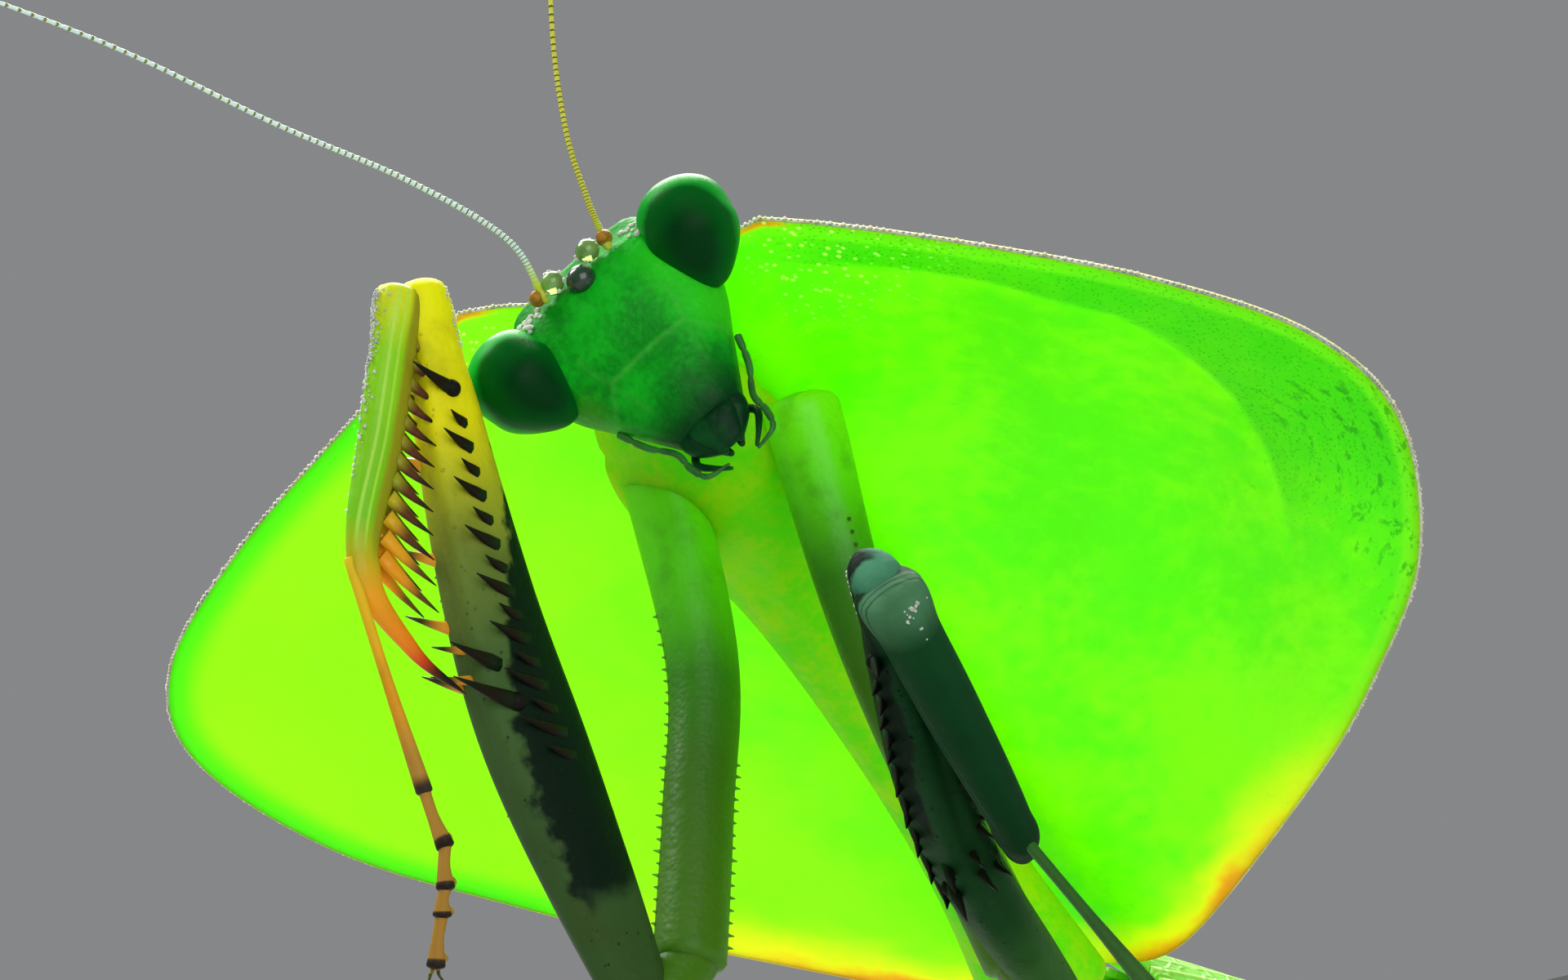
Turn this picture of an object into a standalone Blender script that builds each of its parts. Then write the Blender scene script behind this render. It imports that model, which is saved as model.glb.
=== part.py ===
"""A hooded mantis, Choeradodis, on its four walking legs: the solids of a life-size still model.

Lengths are in millimetres up to the helpers that make meshes, which turn them into metres. The
model stands on four empties. "stance" is the floor's frame, with X to the animal's left, Y to its
rear and Z up. "prothorax_pose" has X left, Y rear along the raised pronotum and Z out of its back.
"head_pose" has X left, Y out of the back of the head and Z up through the vertex.
"hind_body_pose" has its origin at the waist, with Y along the sloping wings and abdomen.
"""

import math
from dataclasses import dataclass

import bmesh
import bpy
from mathutils import Matrix, Vector

MM = 0.001
LEFT, RIGHT = 1, -1
SIDES = {"left": LEFT, "right": RIGHT}

# Stance
PITCH = 52.0  # degrees by which the pronotum is raised
SLOPE = 28.0  # degrees by which the wings and abdomen fall towards their tip
WAIST_HEIGHT = 20.0
WAIST_BEHIND_CENTRE = 0.515  # sets the model's bounding box about the middle of its frame
WAIST = Vector((0.0, 25.3, -1.5))  # in the prothorax frame
HEAD_PLACE = (1.6, -1.0, -3.7)
HEAD_TURN = (47.0, -37.0, -10.0)
GAP = 0.06  # clearance between neighbouring solids
DOME_SHRINK = 0.6  # size of the end face of a rounded-out limb, as a share of its last section

# Pronotum
NOTCH_HALF_WIDTH = 4.5
SHIELD_HALF_WIDTH = 18.0
SHIELD_LENGTH = 25.8
SHIELD_THICKNESS = 0.55
SHIELD_ARCH = 2.4  # how far the side edges droop
SHIELD_HALF_OUTLINE = [
    (NOTCH_HALF_WIDTH, 0.0),
    (9.2, 2.1),
    (13.8, 4.3),
    (17.1, 6.6),
    (SHIELD_HALF_WIDTH, 9.5),
    (16.3, 13.8),
    (13.0, 17.6),
    (9.6, 20.7),
    (3.9, 24.9),
    (1.0, SHIELD_LENGTH),
]
NOTCH_DEPTH = 1.3
KEEL_HEIGHT = 0.8
KEEL_WIDTH = 1.5
COLUMN_CROWDING = 1.6  # above 1, the plate's columns are closer together at the keel

# Head
EYE_APART = 2.68  # midline to the centre of an eye
EYE_SIZE = (1.33, 1.3, 1.53)
MUZZLE = -4.0  # height of the end of the face

# Fore legs
COXA_WIDTH = 1.7
FEMUR_DEPTH = 3.0
FEMUR_WIDTH = 1.6
TIBIA_LENGTH = 7.4
TIBIA_DEPTH = 1.25
CLAW_LENGTH = 4.0
HINGE_OFFSET = 0.75  # from the middle line of the femur to that of the tibia, at the knee
CLAW_BEND = 65.0
INNER_SPINES = 15
OUTER_SPINES = 4
DISCOIDAL_SPINES = 3
TIBIAL_SPINES = 12

# Wings
TEGMEN_START, TEGMEN_END = 1.9, 38.0
TIP_START = 0.72  # where the rounding of the tip begins, as a share of the length
TEGMEN_HALF_WIDTHS = [(w,) * 2 for w in (1.9, 4.3, 7.2, 8.8, 9.0, 8.6, 7.8, 7.2)]
TEGMEN_HEIGHTS = [(h,) * 2 for h in (2.2, 2.8, 2.9, 2.8, 2.5, 2.1, 1.6, 1.1)]
TEGMEN_LIFT = 0.4  # how far each wing is off their common height where they overlap
TEGMEN_ARCH = 1.7  # how far the outer edges droop

# Walking legs
FEELER = 0.5  # the thinnest solid of a leg or a feeler
ANKLE_HEIGHT = 1.3

COLOURS = {
    "shield_lime": ((0.30, 0.80, 0.02), 0.45),
    "body_green": ((0.16, 0.50, 0.03), 0.5),
    "head_green": ((0.02, 0.26, 0.07), 0.4),
    "eye_green": ((0.0, 0.06, 0.015), 0.15),
    "mouth_green": ((0.03, 0.13, 0.04), 0.45),
    "antenna_ochre": ((0.45, 0.40, 0.12), 0.5),
    "leg_green": ((0.17, 0.45, 0.05), 0.5),
    "femur_yellow": ((0.45, 0.48, 0.08), 0.45),
    "tarsus_orange": ((0.70, 0.27, 0.03), 0.45),
    "wing_green": ((0.20, 0.60, 0.04), 0.5),
}


@dataclass(frozen=True)
class ForeLegPose:
    """The joints of one grasping leg, in the prothorax frame.

    Attributes:
        coxa: The middle line of the coxa, from its socket to its end.
        femur: The two ends of the femur, the second one at the knee.
        bow: How far the middle of the femur stands out towards its belly and its inner side.
        belly: The way that the spined edge of the femur faces.
        fold: Degrees between the femur and the tibia.
        tarsus: The joints of the foot after the tibia.
    """

    coxa: tuple
    femur: tuple
    bow: tuple
    belly: tuple
    fold: float
    tarsus: tuple


FORE_LEGS = {
    "right": ForeLegPose(
        coxa=((-1.8, 6.1, -2.4), (-0.4, 8.6, -6.4), (-0.4, 11.5, -13.6)),
        femur=((-1.0, 11.5, -15.6), (-1.55, -3.9, -5.4)),
        bow=(0.5, -0.2),
        belly=(-0.34, -0.50, -0.80),
        fold=28.0,
        tarsus=((-2.4, 3.1, -15.7), (-2.0, 4.0, -16.8), (-2.1, 4.6, -17.6), (-2.6, 5.7, -19.0)),
    ),
    "left": ForeLegPose(
        coxa=((3.0, 5.8, -2.2), (4.6, 10.0, -6.4), (6.1, 15.6, -11.4)),
        femur=((7.3, 16.5, -12.6), (12.1, 0.0, -16.7)),
        bow=(0.0, 0.45),
        belly=(0.55, 0.34, -0.76),
        fold=23.5,
        tarsus=((13.4, 11.8, -18.6), (13.8, 12.9, -19.2), (14.2, 13.8, -19.9), (15.0, 15.1, -21.1)),
    ),
}


@dataclass(frozen=True)
class WalkingLegPose:
    """The joints of a walking leg on the left side, measured from the waist's foot on the floor.

    Attributes:
        hip: Where the coxa leaves the thorax.
        coxa_end: The far end of the coxa.
        knee: The joint of femur and tibia.
        ankle: The far end of the tibia.
        toe: The tip of the foot on the floor.
        femur_width: The femur's thickness near the hip.
    """

    hip: tuple
    coxa_end: tuple
    knee: tuple
    ankle: tuple
    toe: tuple
    femur_width: float


WALKING_LEGS = {
    "mid": WalkingLegPose(
        hip=(2.0, 2.0, 16.6),
        coxa_end=(4.2, 0.6, 13.8),
        knee=(15.6, -6.2, 12.6),
        ankle=(18.6, -8.4, ANKLE_HEIGHT),
        toe=(24.2, -12.2, 0.3),
        femur_width=1.3,
    ),
    "hind": WalkingLegPose(
        hip=(2.0, 6.4, 14.4),
        coxa_end=(4.2, 7.2, 11.4),
        knee=(15.6, 17.4, 14.6),
        ankle=(21.6, 25.8, ANKLE_HEIGHT),
        toe=(26.6, 31.4, 0.3),
        femur_width=1.4,
    ),
}

# Middle lines of the antennae from base to tip, in the prothorax frame
ANTENNAE = {
    "left": (
        (2.1, -2.1, -2.9),
        (1.9, -3.1, -2.2),
        (1.6, -4.5, -0.7),
        (1.6, -6.5, 1.9),
        (2.2, -10.0, 6.8),
        (3.8, -14.7, 14.7),
    ),
    "right": (
        (0.5, -1.9, -4.1),
        (0.3, -3.6, -3.7),
        (-1.0, -6.1, -3.9),
        (-2.5, -9.3, -5.0),
        (-4.0, -13.9, -6.9),
        (-5.5, -20.1, -10.7),
    ),
}

# Middle line of the left palp, in the head frame; the right one is its mirror image
PALP = (
    (1.85, 0.55, -2.7),
    (1.55, 0.5, -3.6),
    (1.15, 0.35, -4.6),
    (0.7, 0.15, -5.3),
    (1.15, -0.45, -5.4),
)


def collection(name):
    """Make a collection and link it to the scene."""
    made = bpy.data.collections.new(name)
    bpy.context.scene.collection.children.link(made)
    return made


def pose(name, place, turn=(0.0, 0.0, 0.0), parent=None):
    """Make an empty that carries the pieces modelled in its own frame; turn is in degrees."""
    empty = bpy.data.objects.new(name, None)
    PARTS.objects.link(empty)
    empty.parent = parent
    empty.location = Vector(place) * MM
    empty.rotation_euler = [math.radians(angle) for angle in turn]
    return empty


def material(name):
    """Make a plain Principled material from the table of colours."""
    known = bpy.data.materials.get(name)
    if known:
        return known
    colour, roughness = COLOURS[name]
    made = bpy.data.materials.new(name)
    made.use_nodes = True
    shader = made.node_tree.nodes["Principled BSDF"]
    shader.inputs["Base Color"].default_value = (*colour, 1.0)
    shader.inputs["Roughness"].default_value = roughness
    shader.inputs["Metallic"].default_value = 0.0
    return made


def add_piece(name, bm, parent, colour):
    """Turn a bmesh in millimetres into a named object in metres under its pose."""
    bmesh.ops.scale(bm, vec=(MM, MM, MM), verts=bm.verts)
    bmesh.ops.recalc_face_normals(bm, faces=bm.faces)
    mesh = bpy.data.meshes.new(name)
    bm.to_mesh(mesh)
    bm.free()
    mesh.materials.append(material(colour))
    piece = bpy.data.objects.new(name, mesh)
    PARTS.objects.link(piece)
    piece.parent = parent
    return piece


def along(points, t):
    """The point at t, from 0 to 1, of a smooth curve through the points."""
    spot = t * (len(points) - 1)
    index = min(int(spot), len(points) - 2)
    f = spot - index
    b, c = Vector(points[index]), Vector(points[index + 1])
    a = Vector(points[index - 1]) if index else 2 * b - c
    d = Vector(points[index + 2]) if index + 2 < len(points) else 2 * c - b
    square = (2 * a - 5 * b + 4 * c - d) * f**2
    cube = (3 * b - a - 3 * c + d) * f**3
    return 0.5 * (2 * b + (c - a) * f + square + cube)


def smooth_step(low, high, value):
    """Rise from 0 to 1 as the value goes from low to high."""
    x = min(max((value - low) / (high - low), 0.0), 1.0)
    return x * x * (3 - 2 * x)


def loft_bmesh(path, sizes, side, rings, corners, domes, swell=None):
    """Skin elliptical sections along a path and close both ends.

    Args:
        path: Points of the middle line.
        sizes: Full section sizes at even steps of the path, as (along side, across it).
        side: The way that the first size is measured.
        rings: How many sections there are.
        corners: How many corners a section has.
        domes: How far each end is rounded out, in millimetres.
        swell: A function of t that scales the section, or None.
    """
    stations = [(i / (rings - 1), 0.0, 1.0) for i in range(rings)]
    if domes[0]:
        stations.insert(0, (0.0, -domes[0], DOME_SHRINK))
    if domes[1]:
        stations.append((1.0, domes[1], DOME_SHRINK))
    bm = bmesh.new()
    loops = []
    for t, shift, shrink in stations:
        before, after = along(path, max(t - 0.01, 0.0)), along(path, min(t + 0.01, 1.0))
        tangent = (after - before).normalized()
        across = Vector(side) - tangent * tangent.dot(Vector(side))
        across.normalize()
        upward = tangent.cross(across)
        size = along(sizes, t) * 0.5 * shrink
        if swell:
            size = size * swell(t)
        centre = along(path, t) + tangent * shift
        loop = []
        for corner in range(corners):
            angle = math.tau * (corner + 0.5) / corners
            offset = across * size.x * math.cos(angle) + upward * size.y * math.sin(angle)
            loop.append(bm.verts.new(centre + offset))
        loops.append(loop)
    for near, far in zip(loops, loops[1:]):
        for k in range(corners):
            bm.faces.new((near[k - 1], near[k], far[k], far[k - 1]))
    bm.faces.new(loops[0])
    bm.faces.new(loops[-1])
    return bm


def loft(name, parent, colour, path, sizes, side, rings=8, corners=10, domes=(0.3, 0.3), swell=None):
    """Make a lofted solid as a piece of its own."""
    bm = loft_bmesh(path, sizes, side, rings, corners, domes, swell)
    return add_piece(name, bm, parent, colour)


def sheet(name, parent, colour, point_at, columns, rows, thickness):
    """Make a curved plate from a function of (across, along), each from 0 to 1."""
    bm = bmesh.new()
    bmesh.ops.create_grid(bm, x_segments=columns, y_segments=rows, size=0.5)
    for vert in bm.verts:
        vert.co = point_at(vert.co.x + 0.5, vert.co.y + 0.5)
    plate = add_piece(name, bm, parent, colour)
    solid = plate.modifiers.new("thickness", "SOLIDIFY")
    solid.thickness = thickness * MM
    solid.offset = 0.0
    solid.use_even_offset = False
    return plate


def add_cone(bm, base, tip, width):
    """Add a spine from its base to its tip."""
    axis = tip - base
    turn = axis.to_track_quat("Z", "Y").to_matrix().to_4x4()
    bmesh.ops.create_cone(
        bm,
        cap_ends=True,
        segments=4,
        radius1=width / 2,
        radius2=0.0,
        depth=axis.length,
        matrix=Matrix.Translation((base + tip) / 2) @ turn,
    )


def boolean(piece, other, operation):
    """Give a piece a Boolean modifier with another object."""
    step = piece.modifiers.new(f"{operation.lower()} {other.name}", "BOOLEAN")
    step.operation = operation
    step.object = other
    step.use_self = operation == "UNION"


def add_cutter(name, mesh):
    """Keep a mesh that only other pieces use, out of the render."""
    cutter = bpy.data.objects.new(name, mesh)
    CUTTERS.objects.link(cutter)
    cutter.hide_render = True
    cutter.display_type = "WIRE"
    return cutter


def join_spines(piece, spines):
    """Join a bmesh of spines, in millimetres, to the piece that they grow from."""
    bmesh.ops.scale(spines, vec=(MM, MM, MM), verts=spines.verts)
    mesh = bpy.data.meshes.new(f"{piece.name}_spines")
    spines.to_mesh(mesh)
    spines.free()
    joined = add_cutter(mesh.name, mesh)
    joined.parent = piece.parent
    boolean(piece, joined, "UNION")


def keep_clear(piece, *neighbours):
    """Cut a piece back to a small gap from its neighbours, as they are so far."""
    bpy.context.view_layer.update()
    for neighbour in neighbours:
        graph = bpy.context.evaluated_depsgraph_get()
        mesh = bpy.data.meshes.new_from_object(neighbour.evaluated_get(graph))
        cutter = add_cutter(f"{piece.name}_clears_{neighbour.name}", mesh)
        cutter.matrix_world = neighbour.matrix_world
        swell = cutter.modifiers.new("gap", "DISPLACE")
        swell.strength = GAP * MM
        swell.mid_level = 0.0
        boolean(piece, cutter, "DIFFERENCE")


def shield_point(across, back):
    """A point of the pronotum's middle surface."""
    edge = along(SHIELD_HALF_OUTLINE, back)
    half = 2 * across - 1
    x = math.copysign(abs(half) ** COLUMN_CROWDING, half) * edge.x
    fade = max(0.0, 1 - edge.y / 6)
    y = edge.y + NOTCH_DEPTH * fade * math.exp(-((x / 2.8) ** 2))
    keel = KEEL_HEIGHT * math.exp(-((x / KEEL_WIDTH) ** 2)) * smooth_step(0, 5, edge.y)
    z = keel - SHIELD_ARCH * (x / SHIELD_HALF_WIDTH) ** 2
    return Vector((x, y, z))


def build_prothorax(frame):
    """The broad shield and the narrow body under it."""
    shield = sheet("pronotum", frame, "shield_lime", shield_point, 10, 16, SHIELD_THICKNESS)
    body = loft(
        "prothorax",
        frame,
        "body_green",
        path=(
            (0.2, 1.9, -1.3),
            (0.2, 5.6, -1.6),
            (0.1, 9.8, -1.3),
            (0.0, 15.0, -1.2),
            (0.0, 20.0, -1.3),
            (0.0, 24.4, -1.7),
        ),
        sizes=((3.4, 2.4), (6.9, 3.6), (3.6, 3.0), (2.8, 2.6), (2.9, 2.7), (3.6, 3.2)),
        side=(1, 0, 0),
        rings=9,
        corners=10,
    )
    keep_clear(body, shield)
    return shield, body


def build_eye(name, side, frame):
    """An egg-shaped eye that narrows towards the cheek."""
    bm = bmesh.new()
    bmesh.ops.create_uvsphere(bm, u_segments=12, v_segments=8, radius=1.0)
    for vert in bm.verts:
        narrow = 1 - 0.28 * smooth_step(0.2, -1.0, vert.co.z)
        vert.co.x *= narrow * EYE_SIZE[0]
        vert.co.y *= narrow * EYE_SIZE[1]
        vert.co.z *= EYE_SIZE[2]
    lean = Matrix.Rotation(math.radians(14 * side), 4, "Y")
    bmesh.ops.transform(bm, matrix=Matrix.Translation((EYE_APART * side, 0, 0)) @ lean, verts=bm.verts)
    return add_piece(name, bm, frame, "eye_green")


def build_head(frame, prothorax_frame):
    """The triangular head with its eyes, ocelli, mouthparts, palps and antennae."""
    head = loft(
        "head",
        frame,
        "head_green",
        path=(
            (0.0, 0.45, 1.75),
            (0.0, 0.55, 0.9),
            (0.0, 0.6, -0.2),
            (0.0, 0.6, -1.4),
            (0.0, 0.55, -2.5),
            (0.0, 0.45, MUZZLE),
        ),
        sizes=((3.9, 0.9), (5.2, 2.3), (5.6, 2.9), (5.0, 2.7), (3.7, 2.3), (1.9, 1.6)),
        side=(1, 0, 0),
        rings=9,
        corners=12,
        domes=(0.25, 0.0),
    )
    ocelli = bmesh.new()
    for x, z in ((-0.5, 1.05), (0.5, 1.05), (0.0, 0.62)):
        place = Matrix.Translation((x, -0.62, z))
        bmesh.ops.create_uvsphere(ocelli, u_segments=6, v_segments=4, radius=0.26, matrix=place)
    join_spines(head, ocelli)
    mouth = loft(
        "mouthparts",
        frame,
        "mouth_green",
        path=((0, 0.45, MUZZLE - GAP), (0, 0.4, -4.5), (0, 0.35, -4.9)),
        sizes=((1.8, 1.5), (1.6, 1.4), (1.0, 0.9)),
        side=(1, 0, 0),
        rings=4,
        domes=(0.0, 0.2),
    )
    eyes = [build_eye(f"eye_{name}", side, frame) for name, side in SIDES.items()]
    palps = []
    for name, side in SIDES.items():
        palp = loft(
            f"maxillary_palp_{name}",
            frame,
            "mouth_green",
            path=[(x * side, y, z) for x, y, z in PALP],
            sizes=((FEELER, FEELER), (FEELER, FEELER)),
            side=(0, 1, 0),
            rings=8,
            corners=6,
            domes=(0.1, 0.1),
        )
        palps.append(palp)
    antennae = []
    for name, path in ANTENNAE.items():
        antenna = loft(
            f"antenna_{name}",
            prothorax_frame,
            "antenna_ochre",
            path=path,
            sizes=((0.62, 0.62), (FEELER, FEELER), (FEELER, FEELER)),
            side=(1, 0, 0),
            rings=15,
            corners=6,
            domes=(0.1, 0.2),
        )
        antennae.append(antenna)
    keep_clear(head, *eyes, *palps, *antennae)
    keep_clear(mouth, *palps)
    return head


def build_neck(frame, head, body, shield):
    """The soft neck from the back of the head into the prothorax."""
    neck = loft(
        "neck",
        frame,
        "body_green",
        path=((1.1, 0.1, -2.8), (0.6, 0.9, -2.2), (0.0, 2.0, -1.6)),
        sizes=((2.4, 1.9), (2.2, 1.7), (2.3, 1.6)),
        side=(1, 0, 0),
        rings=5,
    )
    keep_clear(neck, head, body, shield)


def add_row(bm, count, spot_at, width):
    """Add a row of spines, each from its base to its tip as spot_at gives them for t from 0 to 1."""
    for i in range(count):
        base, tip = spot_at(i / max(count - 1, 1), i)
        add_cone(bm, base, tip, width)


class ForeLeg:
    """One grasping leg, folded as its pose says."""

    def __init__(self, name, side, frame):
        plan = FORE_LEGS[name]
        self.name = name
        self.frame = frame
        self.plan = plan
        self.base, self.knee = (Vector(end) for end in plan.femur)
        self.axis = (self.knee - self.base).normalized()
        belly = Vector(plan.belly)
        self.belly = (belly - self.axis * belly.dot(self.axis)).normalized()
        self.inner = -side * self.axis.cross(self.belly)
        fold = math.radians(plan.fold)
        self.shank = self.belly * math.sin(fold) - self.axis * math.cos(fold)
        self.grip = -self.axis * math.sin(fold) - self.belly * math.cos(fold)
        self.hinge = self.knee + self.belly * HINGE_OFFSET
        self.ankle = self.hinge + self.shank * TIBIA_LENGTH

    def femur_edge(self, t, belly, inner):
        """A point of the femur's surface, so many half sections towards the belly and the inner side."""
        bow = 4 * t * (1 - t)
        centre = self.base.lerp(self.knee, t)
        centre += bow * (self.belly * self.plan.bow[0] + self.inner * self.plan.bow[1])
        swell = 1 - 0.3 * abs(t - 0.45) / 0.55
        depth, width = self.belly * FEMUR_DEPTH / 2, self.inner * FEMUR_WIDTH / 2
        return centre + (depth * belly + width * inner) * swell

    def build_femur(self):
        """The femur with its three rows of spines."""
        middle = self.base.lerp(self.knee, 0.5)
        middle += self.belly * self.plan.bow[0] + self.inner * self.plan.bow[1]
        femur = loft(
            f"fore_femur_{self.name}",
            self.frame,
            "femur_yellow",
            path=(self.base, middle, self.knee),
            sizes=((1.1, 1.6), (1.45, 2.5), (FEMUR_WIDTH, FEMUR_DEPTH), (1.5, 2.6), (1.3, 2.0), (1.2, 1.3)),
            side=self.inner,
            rings=9,
            corners=10,
            domes=(0.2, 0.4),
        )
        lean = (self.belly + self.axis * 0.8).normalized()

        def inner_spine(t, i):
            base = self.femur_edge(0.36 + 0.5 * t, 0.5 - 0.3 * t, 0.72)
            return base, base + lean * (0.95 + 0.35 * (i % 2)) + self.inner * 0.1

        def outer_spine(t, i):
            base = self.femur_edge(0.38 + 0.28 * t, 0.6, -0.6)
            return base, base + lean * 1.45 - self.inner * 0.2

        def discoidal_spine(t, i):
            base = self.femur_edge(0.42 + 0.1 * t, 0.75, 0.0)
            return base, base + lean * (1.7 - 0.3 * t)

        spines = bmesh.new()
        add_row(spines, INNER_SPINES, inner_spine, 0.36)
        add_row(spines, OUTER_SPINES, outer_spine, 0.42)
        add_row(spines, DISCOIDAL_SPINES, discoidal_spine, 0.4)
        join_spines(femur, spines)
        return femur

    def build_tibia(self):
        """The tibia, drawn out into its claw, with two rows of spines that grow towards the claw."""
        bend = math.radians(CLAW_BEND)
        claw = self.shank * math.cos(bend) + self.grip * math.sin(bend)
        tip = self.ankle + claw * CLAW_LENGTH
        middle = self.ankle.lerp(tip, 0.5) + self.shank * 0.45
        tibia = loft(
            f"fore_tibia_{self.name}",
            self.frame,
            "leg_green",
            path=(self.hinge, self.hinge.lerp(self.ankle, 0.5), self.ankle, middle, tip),
            sizes=((0.9, 1.2), (0.9, TIBIA_DEPTH), (0.75, 0.95), (0.45, 0.6), (0.16, 0.16)),
            side=self.inner,
            rings=11,
            corners=8,
            domes=(0.35, 0.0),
        )
        spines = bmesh.new()
        for side in (-1, 1):

            def spine(t, i, side=side):
                lean = (self.grip + self.shank * (0.45 + 0.6 * t)).normalized()
                base = self.hinge.lerp(self.ankle, 0.1 + 0.86 * t)
                base += self.grip * 0.25 + self.inner * 0.2 * side
                return base, base + lean * (0.9 + 1.1 * t * t) + self.inner * 0.16 * side

            add_row(spines, TIBIAL_SPINES, spine, 0.42)
        join_spines(tibia, spines)
        return tibia

    def build(self, body, shield):
        """The five pieces of the leg, each cut clear of the ones before it."""
        coxa = loft(
            f"fore_coxa_{self.name}",
            self.frame,
            "leg_green",
            path=self.plan.coxa,
            sizes=((2.0, 2.1), (COXA_WIDTH, 1.9), (1.5, 1.6)),
            side=self.inner,
            rings=8,
            corners=10,
            domes=(0.4, 0.3),
        )
        keep_clear(coxa, body, shield)
        femur = self.build_femur()
        trochanter = loft(
            f"fore_trochanter_{self.name}",
            self.frame,
            "leg_green",
            path=(self.plan.coxa[-1], self.base),
            sizes=((1.4, 1.5), (1.3, 1.4)),
            side=self.inner,
            rings=3,
            corners=10,
            domes=(0.5, 0.5),
        )
        keep_clear(trochanter, coxa)
        keep_clear(femur, coxa, trochanter)
        tibia = self.build_tibia()
        keep_clear(tibia, femur)
        start = self.ankle - self.grip * 0.55
        joints = [start, *(Vector(joint) for joint in self.plan.tarsus)]
        tarsus = loft(
            f"fore_tarsus_{self.name}",
            self.frame,
            "tarsus_orange",
            path=joints,
            sizes=((FEELER, FEELER), (0.55, 0.55), (0.5, 0.5)),
            side=self.inner,
            rings=9,
            corners=6,
            domes=(0.1, 0.25),
            swell=lambda t: 1 + 0.12 * math.cos(8 * math.pi * t),
        )
        keep_clear(tarsus, tibia)


def build_hind_body(frame):
    """The pterothorax, and the abdomen with its two cerci."""
    thorax = loft(
        "pterothorax",
        frame,
        "body_green",
        path=((0.0, 0.3, -1.0), (0.0, 2.6, -0.8), (0.0, 5.2, -0.6), (0.0, 8.7, -0.5)),
        sizes=((3.4, 2.6), (5.6, 4.6), (6.4, 5.0), (6.2, 4.6)),
        side=(1, 0, 0),
        rings=6,
        corners=12,
        domes=(0.3, 0.0),
    )
    abdomen = loft(
        "abdomen",
        frame,
        "body_green",
        path=(
            (0.0, 8.8, -0.5),
            (0.0, 13.5, -0.5),
            (0.0, 18.5, -0.5),
            (0.0, 23.5, -0.4),
            (0.0, 28.0, -0.3),
            (0.0, 31.4, -0.2),
        ),
        sizes=((6.2, 4.5), (8.0, 4.6), (8.6, 4.4), (8.0, 3.8), (6.0, 2.9), (2.6, 1.5)),
        side=(1, 0, 0),
        rings=10,
        corners=12,
        domes=(0.0, 0.4),
    )
    for name, side in SIDES.items():
        path = ((0.8 * side, 30.6, -0.6), (1.4 * side, 32.2, -0.8), (1.9 * side, 34.0, -0.9))
        sizes = ((0.8, 0.7), (FEELER, FEELER))
        cercus = loft(f"cercus_{name}", frame, "body_green", path, sizes, (1, 0, 0), 4, 6)
        keep_clear(cercus, abdomen)
    return thorax, abdomen


def tegmen_point(side, across, back):
    """A point of a leathery fore wing: it overlaps its fellow by the midline, the left one on top."""
    back = 1 - (1 - back) ** 1.6
    round_off = math.sqrt(1 - max(0.0, (back - TIP_START) / (1 - TIP_START)) ** 2)
    outer = max(along(TEGMEN_HALF_WIDTHS, back).x * round_off, 0.7)
    inner = -0.16 * outer
    x = inner + (outer - inner) * across
    lift = TEGMEN_LIFT * side * (1 - smooth_step(2.0, 5.0, x))
    y = TEGMEN_START + (TEGMEN_END - TEGMEN_START) * back
    z = along(TEGMEN_HEIGHTS, back).x + lift - TEGMEN_ARCH * (x / outer) ** 2
    return Vector((x * side, y, z))


def build_tegmina(frame, thorax, abdomen):
    """The two folded fore wings, with the hind wings shut out of sight under them."""
    for name, side in SIDES.items():

        def point(across, back, side=side):
            return tegmen_point(side, across, back)

        wing = sheet(f"tegmen_{name}", frame, "wing_green", point, 5, 13, FEELER)
        keep_clear(wing, thorax, abdomen)


def build_walking_leg(pair, name, side, stance, waist_y, thorax, abdomen):
    """A walking leg: coxa, femur, tibia and a foot with a flat under it."""
    plan = WALKING_LEGS[pair]
    joints = [plan.hip, plan.coxa_end, plan.knee, plan.ankle, plan.toe]
    hip, coxa_end, knee, ankle, toe = (Vector((x * side, y + waist_y, z)) for x, y, z in joints)
    up = (0, 0, 1)
    width = plan.femur_width
    sizes = ((1.9, 2.1), (1.3, 1.4))
    coxa = loft(f"{pair}_coxa_{name}", stance, "leg_green", (hip, coxa_end), sizes, up, 3, 8)
    keep_clear(coxa, thorax, abdomen)
    sizes = ((width, width), (width, width * 0.85), (0.9, 0.8), (0.9, 0.8))
    femur = loft(f"{pair}_femur_{name}", stance, "leg_green", (coxa_end, knee), sizes, up, 6, 8)
    keep_clear(femur, coxa)
    sizes = ((0.8, 0.75), (0.7, 0.65), (0.75, 0.7))
    tibia = loft(f"{pair}_tibia_{name}", stance, "leg_green", (knee, ankle), sizes, (1, 0, 0), 5, 8)
    keep_clear(tibia, femur)
    heel = ankle.lerp(toe, 0.35)
    heel.z = 0.4
    sole = ankle.lerp(toe, 0.7) * Vector((1, 1, 0))
    foot = loft_bmesh((ankle, heel, sole, toe), ((0.6, 0.6), (0.7, 0.6)), up, 8, 8, (0.2, 0.2))
    for vert in foot.verts:
        vert.co.z = max(vert.co.z, 0.0)
    tarsus = add_piece(f"{pair}_tarsus_{name}", foot, stance, "tarsus_orange")
    keep_clear(tarsus, tibia)


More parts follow.
